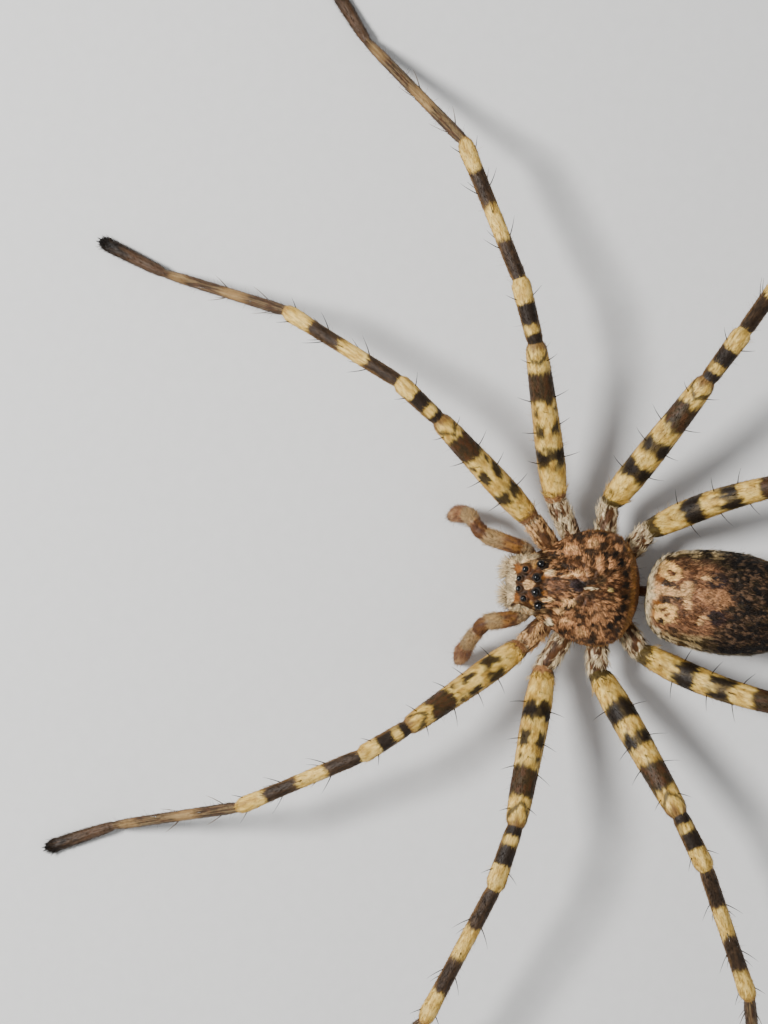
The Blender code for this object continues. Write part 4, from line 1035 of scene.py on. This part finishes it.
def abdomen_sheet():
    """The abdomen's skin, and its marks."""
    own = np.linspace(0.0, ABDOMEN[-1, 0], ABDOMEN_ROWS)
    wide, high, level = (smooth(along(ABDOMEN, own, k), 5)[:, None] for k in (1, 2, 3))
    turns = round_turns(ABDOMEN_AROUND)
    power = 2 / ABDOMEN_SQUARENESS
    across, over = (np.sign(way) * np.abs(way) ** power for way in (np.cos(turns), np.sin(turns)))
    depth = COAT_DEPTH["abdomen"]
    rings = spread((wide - depth) * across, own[:, None], level + (high - depth) * over)
    local = caps(rings, 5, (0.12, 0.15))
    x, y, z = np.moveaxis(local, -1, 0)
    dents = sum(np.exp(-((x - a) ** 2 + (y - b) ** 2) / 0.16) for a, b in ABDOMEN_DENTS)
    local[..., 2] -= 0.10 * dents * (z > 6)
    folds = fractal(local, (1.6, 0.55, 1.0), 51) - 0.5
    swell = unit((local - (0, 0, 5.4)) * (1, 0, 1))
    local = local + swell * (0.16 * folds)[..., None] * ease(0.3, 1.5, local[..., 1])[..., None]
    sheet = Sheet(ABDOMEN_FRONT + local @ ABDOMEN_AXES)
    sheet.fur = local[..., [1, 0, 2]]
    paint_abdomen(sheet, local)
    return sheet


def paint_abdomen(sheet, local):
    """Peach, rust and dark marks on the front half, and dark mottling with pale flecks behind."""
    x, y, _ = np.moveaxis(wobble(local, (1.0, 0.45, 61), (0.35, 0.28, 65)), -1, 0)
    out, back, up = np.abs(local[..., 0]), local[..., 1], sheet.normals[..., 2]
    mottle = fractal(local, (0.35, 0.8, 0.35), 71)
    fleck = noise(local, (0.16, 0.34, 0.16), 73)
    fine = noise(local, (0.10, 0.22, 0.10), 74)
    patch = noise(local, (0.50, 0.80, 0.50), 75)
    grain = 0.5 * fleck + 0.5 * fine
    streak = ease(0.44, 0.58, noise(local, (0.22, 1.0, 0.26), 77) * 0.7 + fine * 0.3)
    rim = ease(2.5, 3.3, out + 0.5 * (patch - 0.5))
    behind = ease(5.2, 6.8, back + (mottle - 0.5) * 2.4 + 0.30 * out)
    olive = lay(PAINT["olive"], ("dull_straw", streak * 0.75),
                ("dark", ease(0.56, 0.66, 1 - 0.5 * patch - 0.5 * grain) * 0.85))
    dull = lay(PAINT["umber"], ("dark", ease(0.25, 0.40, patch)), ("olive", ease(0.56, 0.70, mottle) * 0.7),
               ("grey", ease(0.55, 0.66, grain) * 0.8), ("black", ease(0.54, 0.66, 1 - fleck) * 0.7))
    sides = lay(PAINT["dark"], ("cream", streak * 0.7 * (1 - 0.7 * behind)),
                ("tan", (1 - streak) * ease(0.5, 0.7, mottle) * 0.4))
    paint = lay(PAINT["fawn"], ("rust", ease(0.46, 0.62, mottle) * 0.6), (olive, rim), (dull, behind))
    paint = marks(paint, x, y, ABDOMEN_MARKS, grain)
    front = 1 - ease(0.0, 0.28, back)
    under = 1 - ease(-0.75, -0.35, up + (mottle - 0.5) * 0.3)
    middle = 1 - ease(0.9, 1.6, out + (mottle - 0.5) * 0.6)
    paint = lay(paint, ("pink", ease(0.54, 0.68, grain) * 0.5 * (1 - 0.8 * behind) * (1 - rim)),
                ("umber", ease(0.52, 0.66, 1 - 0.4 * patch - 0.6 * fine) * 0.6 * (1 - rim)),
                (sides, 1 - ease(0.10, 0.50, up)),
                ("cream", front * 0.7 * ease(-0.5, 0.1, up) * ease(0.3, 0.5, fleck)), ("belly", under),
                ("umber", under * middle * 0.6), ("tan", under * ease(0.54, 0.66, grain) * 0.5),
                ("redbrown", under * band(back, 0.6, 2.6, 0.3) * 0.5))
    pale_front = 0.78 - 0.14 * ease(1.2, 3.2, back)
    sheet.paint = paint * (pale_front + 0.28 * mottle + 0.28 * fine)[..., None]


def abdomen_coat(sheet):
    """The abdomen's coat, above and below as two pieces."""
    up = sheet.normals[..., 2]
    front = 1 - ease(5.2, 6.4, sheet.points[..., 1])
    light = ease(0.12, 0.34, sheet.paint @ LIGHTNESS)
    above = ease(-0.05, 0.05, up)
    for name, here, dense in (("above", above, 1.0), ("below", 1 - above, 0.6)):
        grown = [
            grow(sheet, 140 * dense, here, 0.28, 0.050, 11, gain=(0.7, 1.3), bent=False),
            grow(sheet, 34 * dense, here * (0.2 + 0.8 * light), 0.38, 0.055, 16, gain=(0.8, 1.25),
                 tip_gain=1.2),
            grow(sheet, 16 * dense, here * (1 - front), 0.50, 0.050, 24, gain=(0.9, 1.7), sway=20,
                 tip_gain=1.3),
            grow(sheet, 2.5, here, 0.85, 0.020, 45, sway=20, gain=(0.6, 1.5), bent=False),
        ]
        if name == "above":
            grown.append(grow(sheet, 60, here * front, 0.34, 0.055, 16, gain=(0.8, 1.3), tip_gain=1.2))
        coat(f"abdomen_coat_{name}", "body_hair", "abdomen", *grown)


def build_spinnerets():
    """A low ring behind the abdomen with three pairs of short blunt spinnerets."""
    across, back, _ = ABDOMEN_AXES
    end = ABDOMEN_FRONT + back * (ABDOMEN[-1, 0] - 0.1) + UP * ABDOMEN[-1, 3]
    ring = np.array([end + back * reach for reach in (0, 0.3, 0.6, 0.74)])
    strands = [(ring, (0.74, 0.70, 0.62, 0.30), np.repeat(PAINT["umber"][None], 4, axis=0))]
    tint = np.array([PAINT[name] for name in ("umber", "umber", "tan", "umber", "tan", "dark")])
    for turn in 2 * math.pi * (np.arange(SPINNERET_COUNT) + 0.5) / SPINNERET_COUNT:
        out = across * math.cos(turn) + UP * math.sin(turn)
        way = unit(back + out * 0.25)
        root = end + back * 0.45 + out * 0.34
        path = np.array([root + way * reach for reach in (0, 0.3, 0.6, 0.85, 1.05, 1.18)])
        strands.append((path, (0.22, 0.24, 0.22, 0.18, 0.13, 0.05), tint))
    dress(tubes("spinneret_skin", strands, 20), "abdomen_hide", "abdomen", "spinnerets")
    sheets = [Sheet(tube(path, radii, 20), colour[:, None]) for path, radii, colour in strands]
    grown = [grow(sheet, 120, 1, 0.30, 0.045, 20, gain=(0.8, 1.4), bent=False) for sheet in sheets]
    coat("spinneret_coat", "body_hair", "abdomen", *grown)


def core_sheet():
    """Breastplate, side walls under the shield and the lip of the mouth."""
    outline = [*LIP, STERNUM_SHOULDER]
    for pair in HIPS:
        base, hip = np.array(COXA_BASES[pair]), np.array(HIPS[pair][:2])
        way = unit(hip - base)
        face, across = base - way * 0.36, np.array((-way[1], way[0])) * STERNUM_FACE
        outline += [tuple(face - across), tuple(face + across)]
    outline.append(STERNUM_REAR)
    outline += [(-x, y) for x, y in reversed(outline)]
    outline = np.array(outline + outline[:1])
    run = run_along(outline)
    spots = np.linspace(0, run[-1], 128, endpoint=False)
    ring = np.stack([np.interp(spots, run, outline[:, k]) for k in (0, 1)], axis=-1)
    for _ in range(4):
        ring = 0.25 * np.roll(ring, 1, axis=0) + 0.5 * ring + 0.25 * np.roll(ring, -1, axis=0)
    rows = np.array([spread(*(ring * scale).T, height) for height, scale in CORE_ROWS])
    sheet = Sheet(caps(rows, 30, (0.10, 0.02)))
    sheet.fur = sheet.points[..., [1, 0, 2]]
    mottle = fractal(sheet.points, 0.4, 81)
    sheet.paint = lay(PAINT["belly"], ("umber", ease(0.4, 0.6, mottle) * 0.8),
                      ("tan", 0.5 * ease(0.55, 0.7, noise(sheet.points, 0.25, 83))),
                      ("rust", (1 - ease(-4.5, -3.6, sheet.points[..., 1])) * 0.6))
    return sheet


def build_core():
    """The breastplate with its coat, and the waist."""
    belly = core_sheet()
    skin("breastplate_skin", belly, "underside_hide", "underside", "sternum")
    back = np.array((0, 1.0, 0.05)) + 0 * belly.points
    coat("breastplate_coat", "body_hair", "underside",
         grow(belly, 45, 1, 0.35, 0.055, 15, way=back, bent=False))
    path = np.linspace(*np.array(PEDICEL), 14)
    waist = Sheet(tube(path, np.full(14, PEDICEL_RADIUS), 24), PAINT["redbrown"])
    skin("waist_skin", waist, "underside_hide", "underside", "pedicel")


def build_jaw(side):
    """A chelicera, a stout upright jaw with its bristles, and its fang."""
    sign = SIDES[side]
    height = np.linspace(CHELICERA[0, 0], CHELICERA[-1, 0], 40)
    out, back, wide, deep = (smooth(along(CHELICERA[::-1], height, k), 3)[:, None] for k in (1, 2, 3, 4))
    turns = round_turns(32)
    x, y = sign * out + (wide - 0.05) * np.cos(turns), back + (deep - COAT_DEPTH["jaw"]) * np.sin(turns)
    jaw = Sheet(caps(spread(x, y, height[:, None]), 5, (0.05, 0.25)))
    jaw.fur = jaw.points[..., [2, 0, 1]]
    z, ahead = jaw.points[..., 2], -jaw.normals[..., 1]
    pale = np.maximum(ease(0.35, 0.6, noise(jaw.points, (0.14, 0.3, 0.6), 96)), ease(4.2, 4.9, z))
    jaw.paint = lay(PAINT["redbrown"],
                    ("umber", ease(0.4, 0.6, fractal(jaw.points, (0.2, 0.2, 0.5), 95)) * 0.7),
                    ("fringe", ease(3.0, 4.4, z) * ease(0.2, 0.8, ahead) * pale * 0.75),
                    ("dark", 1 - ease(2.2, 3.0, z)))
    skin(f"chelicera_{side}_skin", jaw, "jaw_hide", "jaw", f"chelicera_{side}")
    face = ease(-0.1, 0.5, ahead) * ease(2.6, 3.6, z)
    coat(f"chelicera_{side}_coat", "body_hair", "jaw",
         grow(jaw, 90, face, 0.70, 0.060, 20, gain=(0.8, 1.3), tip_gain=1.3),
         grow(jaw, 90, face * ease(4.0, 4.8, z), 0.95, 0.045, 58, gain=(0.7, 1.3), tip_gain=1.2),
         grow(jaw, 35, 1 - 0.9 * face, 0.55, 0.045, 22, bent=False))
    path, radii, _ = along_path(np.array(FANG_POINTS) * (sign, 1, 1), FANG_RADII, 8)
    tint = np.linspace(PAINT["redbrown"], PAINT["black"], len(path))
    fang = tubes(f"fang_{side}_horn", [(path, radii, tint)], 20)
    dress(fang, "fang_horn", "fang", f"fang_{side}")


def build_palp(side):
    """A palp, from beside the lip to its tip, and its coat."""
    sign = SIDES[side]
    path, radii, place = along_path(np.array(PALP_ROOT + PALP_REACH[side]) * (sign, 1, 1), PALP_RADII, 14)
    pinch = 1 - 0.14 * sum(np.exp(-((place - knot) / 0.10) ** 2) for knot in PALP_JOINTS)
    palp = Sheet(caps(tube(path, (radii - COAT_DEPTH["palp"]) * pinch, 24), 5, (0.05, 0.30)))
    place = np.pad(place, 5, "edge")[:, None]
    palp.fur = tube_fur(place * 1.2 + 30 * sign, round_turns(24), 0.7)
    mottle = fractal(palp.fur, (0.4, 0.2, 0.2), 91)
    e = place + (noise(palp.fur, (0.4, 0.15, 0.15), 92) - 0.5) * 0.3
    paint = lay(PAINT["fawn"], ("tan", ease(0.45, 0.65, mottle) * 0.7),
                ("umber", ease(0.50, 0.66, 1 - mottle) * 0.6),
                ("fringe", band(e, 1.7, 2.4, 0.15) * 0.5), ("dull_straw", band(e, 3.25, 3.95, 0.12) * 0.6),
                ("redbrown", band(e, 4.00, 4.8, 0.10) * 0.7), ("dull_straw", band(e, 4.9, 6.1, 0.12) * 0.6),
                ("fawn", ease(6.1, 6.4, e)), ("peach", ease(6.4, 6.9, e) * ease(0.40, 0.6, mottle) * 0.6),
                ("umber", ease(7.3, 7.9, e) * 0.6))
    palp.paint = paint * (0.8 + 0.4 * mottle[..., None])
    skin(f"palp_{side}_skin", palp, "palp_hide", "palp", f"palp_{side}")
    light = ease(0.10, 0.30, palp.paint @ LIGHTNESS) + 1.2 * ease(6.0, 6.6, place)
    coat(f"palp_{side}_coat", "body_hair", "palp",
         grow(palp, 150, 1, 0.32, 0.034, 15, gain=(0.7, 1.3), bent=False),
         grow(palp, 60, light, 0.50, 0.038, 30, sway=20, tip_gain=1.2),
         grow(palp, 5, 1, 0.80, 0.024, 55, sway=25, gain=(0.5, 1.0), bent=False))


def eye_piece(name):
    """A finer lens in the place of an eye of the solids. Gives back its place and radius."""
    low, high = (np.array(corner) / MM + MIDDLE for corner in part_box(name))
    middle, radius = (low + high) / 2, (high - low).max() / 2
    polar = np.linspace(0.04, math.pi - 0.04, 22)[:, None]
    turns = round_turns(36)
    ring = spread(np.sin(polar) * np.cos(turns), np.sin(polar) * np.sin(turns), np.cos(polar))
    skin(name + "_lens", Sheet(middle + radius * ring, PAINT["black"] * 0.5), "eye_lens", "eye", name)
    return middle[0], middle[1], radius


def build_floor():
    """A plain pale floor with a very faint grain."""
    mesh = bpy.data.meshes.new("floor")
    corners = [(x * FLOOR_HALF, y * FLOOR_HALF, -FLOOR_DROP) for x, y in ((-1, -1), (1, -1), (1, 1), (-1, 1))]
    mesh.from_pydata(corners, [], [(0, 1, 2, 3)])
    floor = new_object("floor", mesh)
    made, tree, shader = new_material("floor_paper")
    grain = noise_node(tree, new_node(tree, "TexCoord", "Object", {}), 900.0, 3.0)
    colour = new_node(tree, "ValToRGB", "Color", {"Fac": grain})
    for element, value in zip(colour.node.color_ramp.elements, (FLOOR_DARK, FLOOR_LIGHT)):
        element.color = value
    feed(tree, shader, {"Base Color": colour, "Roughness": 0.9, "Specular IOR Level": 0.2})
    mesh.materials.append(made)


def build_lights():
    """One large soft light from in front of the head and above, a weak one from behind, and a pale sky."""
    for name, place, size, power in LIGHTS:
        data = bpy.data.lights.new(name, "AREA")
        data.shape, data.size, data.energy = "DISK", size, power
        lamp = new_object(name, data)
        lamp.location = place
        lamp.rotation_euler = (-Vector(place)).to_track_quat("-Z", "Y").to_euler()
    world = bpy.data.worlds.new("soft_sky")
    world.use_nodes = True
    feed(world.node_tree, world.node_tree.nodes["Background"], {"Color": SKY, "Strength": SKY_STRENGTH})
    bpy.context.scene.world = world


def build_camera():
    """The photo's view: straight down on the back, with the head to the left of the picture."""
    data = bpy.data.cameras.new("camera")
    data.sensor_fit, data.sensor_height, data.lens = "VERTICAL", CAMERA_SENSOR, CAMERA_LENS
    data.clip_start, data.clip_end = 0.01, 10
    camera = new_object("camera", data)
    c, s = math.cos(CAMERA_TURN), math.sin(CAMERA_TURN)
    basis = Matrix(((-s, c, 0), (-c, -s, 0), (0, 0, 1))).transposed().to_4x4()
    camera.matrix_world = Matrix.Translation(Vector(CAMERA_PLACE) * MM) @ basis
    bpy.context.scene.camera = camera


def main():
    """Builds every piece, the floor, the lights and the camera."""
    for name, values in FINISHES.items():
        build_finish(name, *values)
    eyes = [eye_piece(f"{name}_{side}") for name in EYES for side in SIDES]
    shield = carapace_sheet(eyes)
    skin("carapace_skin", shield, "shield_hide", "carapace", "carapace")
    carapace_coat(shield, eyes)
    build_core()
    rear = abdomen_sheet()
    skin("abdomen_skin", rear, "abdomen_hide", "abdomen", "abdomen")
    abdomen_coat(rear)
    build_spinnerets()
    for side in SIDES:
        build_jaw(side)
        build_palp(side)
    for pair in HIPS:
        for side in SIDES:
            leg = leg_sheet(pair, side)
            nodes = [f"leg{pair}_{side}_{kind}" for kind in RINGS if kind != "patella"]
            skin(f"leg{pair}_{side}_skin", leg, "leg_hide", "leg_upper", *nodes)
            leg_coats(leg, pair, side)
            leg_spines(leg, pair, side)
    build_floor()
    build_lights()
    build_camera()


main()
